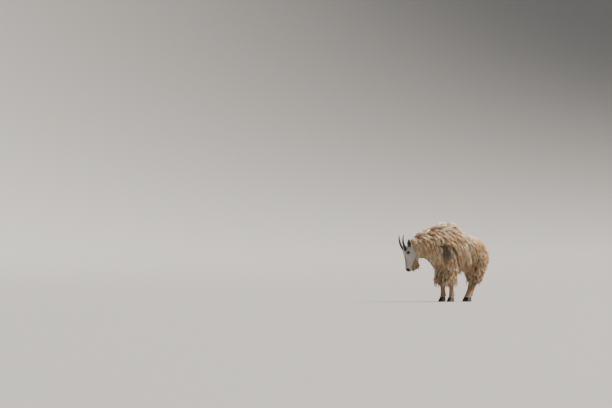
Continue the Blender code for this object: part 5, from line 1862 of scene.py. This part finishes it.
# %% [markdown]
# ## Hooves
# A mountain goat climbs on two pointed toes with a hard rim. Each hoof is two closed claws side by side, with
# the gap between them open in front, and two small dewclaws stand behind the leg above it.

# %% Shape the claws
HOOF_TOP = 0.058
# height share | shift forward, reach to the outer side, front, back
CLAW = [
    (1.08, -0.002, 0.0285, 0.031, 0.030),
    (1.00, 0.000, 0.0315, 0.0355, 0.0325),
    (0.90, 0.001, 0.0325, 0.0375, 0.0345),
    (0.72, 0.004, 0.0345, 0.0410, 0.0360),
    (0.38, 0.008, 0.0390, 0.0500, 0.0380),
    (0.10, 0.011, 0.0415, 0.0560, 0.0370),
    (0.02, 0.0118, 0.0412, 0.0560, 0.0360),
    (0.0, 0.012, 0.0400, 0.0545, 0.0345),
]
# half the gap between the claws, at the same heights
CLEFT = [(0.0000,), (0.0002,), (0.0006,), (0.0012,), (0.0024,), (0.0036,), (0.0040,), (0.0044,)]


def claw_grid(top, way, rings=56, around=48):
    """One claw: the half of the hoof on its side, with a flat inner wall beside the cleft."""
    grid = []
    turn = full_turn(around)
    for place in np.linspace(0, len(CLAW) - 1, rings):
        rise, shift, wide, front, back = curve(CLAW, place)
        gap = curve(CLEFT, place)[0]
        ridge = 0.0004 * math.sin(place * 11) * float(1.5 < place < 5.5)
        c, s = np.cos(turn), np.sin(turn)
        reach = np.where(c > 0, front, back) + ridge
        across = np.sign(s) * np.abs(s) ** 0.8
        aside = np.where(s > 0, across * (wide + ridge), across * 0.010)
        room = gap + 0.010 + 0.0035 * np.maximum(c, 0) ** 2 * min(place / 4, 1)
        aside = aside * (wide - room) / wide + room
        tip = 1 - 0.10 * np.maximum(c, 0) ** 3 * (place / (len(CLAW) - 1))
        xs = top[0] - shift - reach * c * tip
        ys = top[1] + way * np.maximum(aside, gap)
        zs = np.full(around, max(top[2] * rise, 0.0))
        grid.append(np.stack([xs, ys, zs], -1))
    return np.array(grid)


print("a claw is", round(2000 * CLAW[0][2]), "mm wide at the hair, both together")

# %% Shape the dewclaws
DEWCLAW_HEIGHT, DEWCLAW_LENGTH, DEWCLAW_RADIUS = 0.088, 0.026, 0.0085


def dewclaw_grid(form, way, rings=14, around=16):
    """A small blunt claw behind the leg, just above the hoof."""
    heights = form.rows[:, 2]
    place = np.interp(-DEWCLAW_HEIGHT, -heights, np.arange(len(heights)))
    spot = form.centre(place) + np.array((0.024, way * 0.013, 0.004))
    heading = unit(np.array((0.62, way * 0.15, -0.75)))
    across = unit(np.cross(heading, (0, 1, 0)))
    other = np.cross(heading, across)
    turn = column(full_turn(around))
    grid = []
    for t in np.linspace(0, 1, rings):
        radius = DEWCLAW_RADIUS * math.sqrt(max(1 - t**2.2, 0.004))
        ring = (across * np.cos(turn) + other * np.sin(turn)) * radius
        grid.append(spot + heading * DEWCLAW_LENGTH * t + ring)
    return np.array(grid)


print("a dewclaw stands", DEWCLAW_HEIGHT, "m up and is", DEWCLAW_LENGTH, "m long")

# %% Finish and join the claws of each hoof
def hoof_finish():
    f = Finish("hoof horn", Specular_IOR_Level=0.3)
    grain = f.noise(260.0, 4.0, (1.0, 1.0, 0.10))
    worn = (1.0 - f.height().step(0.0, 0.022)) * f.noise(60.0, 3.0).step(0.35, 0.65)
    colour = f.mix(grain, (0.014, 0.012, 0.010), (0.055, 0.045, 0.037))
    colour = f.mix((worn * 0.7).clamped(), colour, (0.17, 0.145, 0.115))
    return f.wear(Base_Color=colour, Roughness=0.48 + worn * 0.25, Normal=f.bump(grain, 0.4, 0.0008))


hoof_look = hoof_finish()
hooves = []
for (pair, side), form in legs.items():
    row = form.rows[-1]
    top = (row[0], row[1], HOOF_TOP)
    grids = [claw_grid(top, way) for way in (-1, 1)] + [dewclaw_grid(form, way) for way in (-1, 1)]
    shells = [closed_grid("shell", grid) for grid in grids]
    points, faces, first = [], [[], []], 0
    for shell in shells:
        points.append(np.array([v.co for v in shell.data.vertices]))
        for polygon in shell.data.polygons:
            faces[len(polygon.vertices) - 3].append([first + v for v in polygon.vertices])
        first += len(points[-1])
        bpy.data.objects.remove(shell)
    hoof = make_object(f"hoof_{pair}_{side}", np.concatenate(points), faces)
    hoof.data.set_sharp_from_angle(angle=math.radians(45))
    hoof.data.materials.append(hoof_look)
    hoof["stands_for"] = f"{pair}hoof_{side}"
    hooves.append(hoof)
print("each hoof has", len(hooves[0].data.polygons), "faces")

# %% [markdown]
# ## Everything rides on the goat
# The goat is one still body, so every piece rides on the same one. The skin stands for all the nodes of
# flesh, and each horn, eye and hoof for its own.

# %% Ride and replace
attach(skin, "root")
leg_nodes = [f"{pair}leg_{side}" for pair, side in legs]
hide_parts("head", "neck", "torso", "tail", "ear_left", "ear_right", *leg_nodes)
for piece in coat_pieces:
    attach(piece, "root")
    piece.pop("slot")
for side in SIDES:
    for piece, node, slot in ((horns[side], f"horn_{side}", "horn"), (eyes[side], f"eye_{side}", "eye")):
        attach(piece, "root")
        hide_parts(node)
for piece in hooves:
    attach(piece, "root")
    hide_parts(piece.pop("stands_for"))

# %% [markdown]
# ## A pale floor and soft light
# The floor is a wide, shallow bowl: level where the goat stands and rising far away, so no horizon shows from
# any side. The main lamp shines from high behind the goat's left flank, as the light of the photograph does.
# Two weak lamps and the pale world fill the shade. The lamps are far away, so that every part of the goat
# gets the same light.

# %% Build the floor
FLOOR_MIDDLE = (-5.0, -4.0)
FLOOR_FLAT, FLOOR_REACH, FLOOR_SOFTNESS = 8.0, 40.0, 4.2
FLOOR_NEAR, FLOOR_FAR = (0.255, 0.26, 0.268), (0.310, 0.315, 0.325)


def bowl(around=160, steps=70):
    """Level near the middle, then rising ever faster, so that its shading has no edge."""
    rim = np.linspace(FLOOR_FLAT, FLOOR_REACH, steps)
    reach = np.concatenate([[0.5, 4.0], rim])
    height = np.concatenate([np.zeros(2), 0.01 * (np.exp((rim - FLOOR_FLAT) / FLOOR_SOFTNESS) - 1)])
    turn = full_turn(around)
    x, y = FLOOR_MIDDLE
    xs, ys = x + np.outer(reach, np.cos(turn)), y + np.outer(reach, np.sin(turn))
    grid = np.stack([xs, ys, np.tile(column(height), around)], -1)
    index, beside, quads = ring_faces(*grid.shape[:2])
    faces = [quads[:, ::-1], fan(index[0], beside[0], index.size)]
    return make_object("floor", np.concatenate([grid.reshape(-1, 3), [(x, y, 0)]]), faces)


def floor_finish():
    f = Finish("pale floor", Roughness=0.9)
    return f.wear(Base_Color=f.mix(f.height().step(0.0, 1.6), FLOOR_NEAR, FLOOR_FAR))


floor = bowl()
floor.data.materials.append(floor_finish())
floor.visible_shadow = False  # its far side would shade the near one
print("the floor rises", round(max(v.co.z for v in floor.data.vertices), 1), "m at its rim")

# %% Place the lamps
WORLD_COLOUR, WORLD_STRENGTH = (0.88, 0.93, 1.0, 1), 0.13


def lamp(name, azimuth, elevation, strength, softness, colour):
    """A far soft lamp. Azimuth 0 shines from +X, 90 from +Y."""
    data = bpy.data.lights.new(name, "SUN")
    data.energy = strength
    data.angle = math.radians(softness)
    data.color = colour
    obj = bpy.data.objects.new(name, data)
    bpy.context.scene.collection.objects.link(obj)
    a, e = math.radians(azimuth), math.radians(elevation)
    back = Vector((math.cos(a) * math.cos(e), math.sin(a) * math.cos(e), math.sin(e)))
    obj.rotation_euler = (-back).to_track_quat("-Z", "Y").to_euler()


lamp("key", -30, 50, 13.0, 11, (1.0, 0.91, 0.79))
lamp("front", -140, 30, 0.06, 60, (0.90, 0.95, 1.0))
lamp("far", 100, 40, 0.3, 60, (1.0, 0.98, 0.95))
world = bpy.data.worlds.new("soft light")
world.use_nodes = True
background = world.node_tree.nodes["Background"]
background.inputs["Color"].default_value = WORLD_COLOUR
background.inputs["Strength"].default_value = WORLD_STRENGTH
bpy.context.scene.world = world
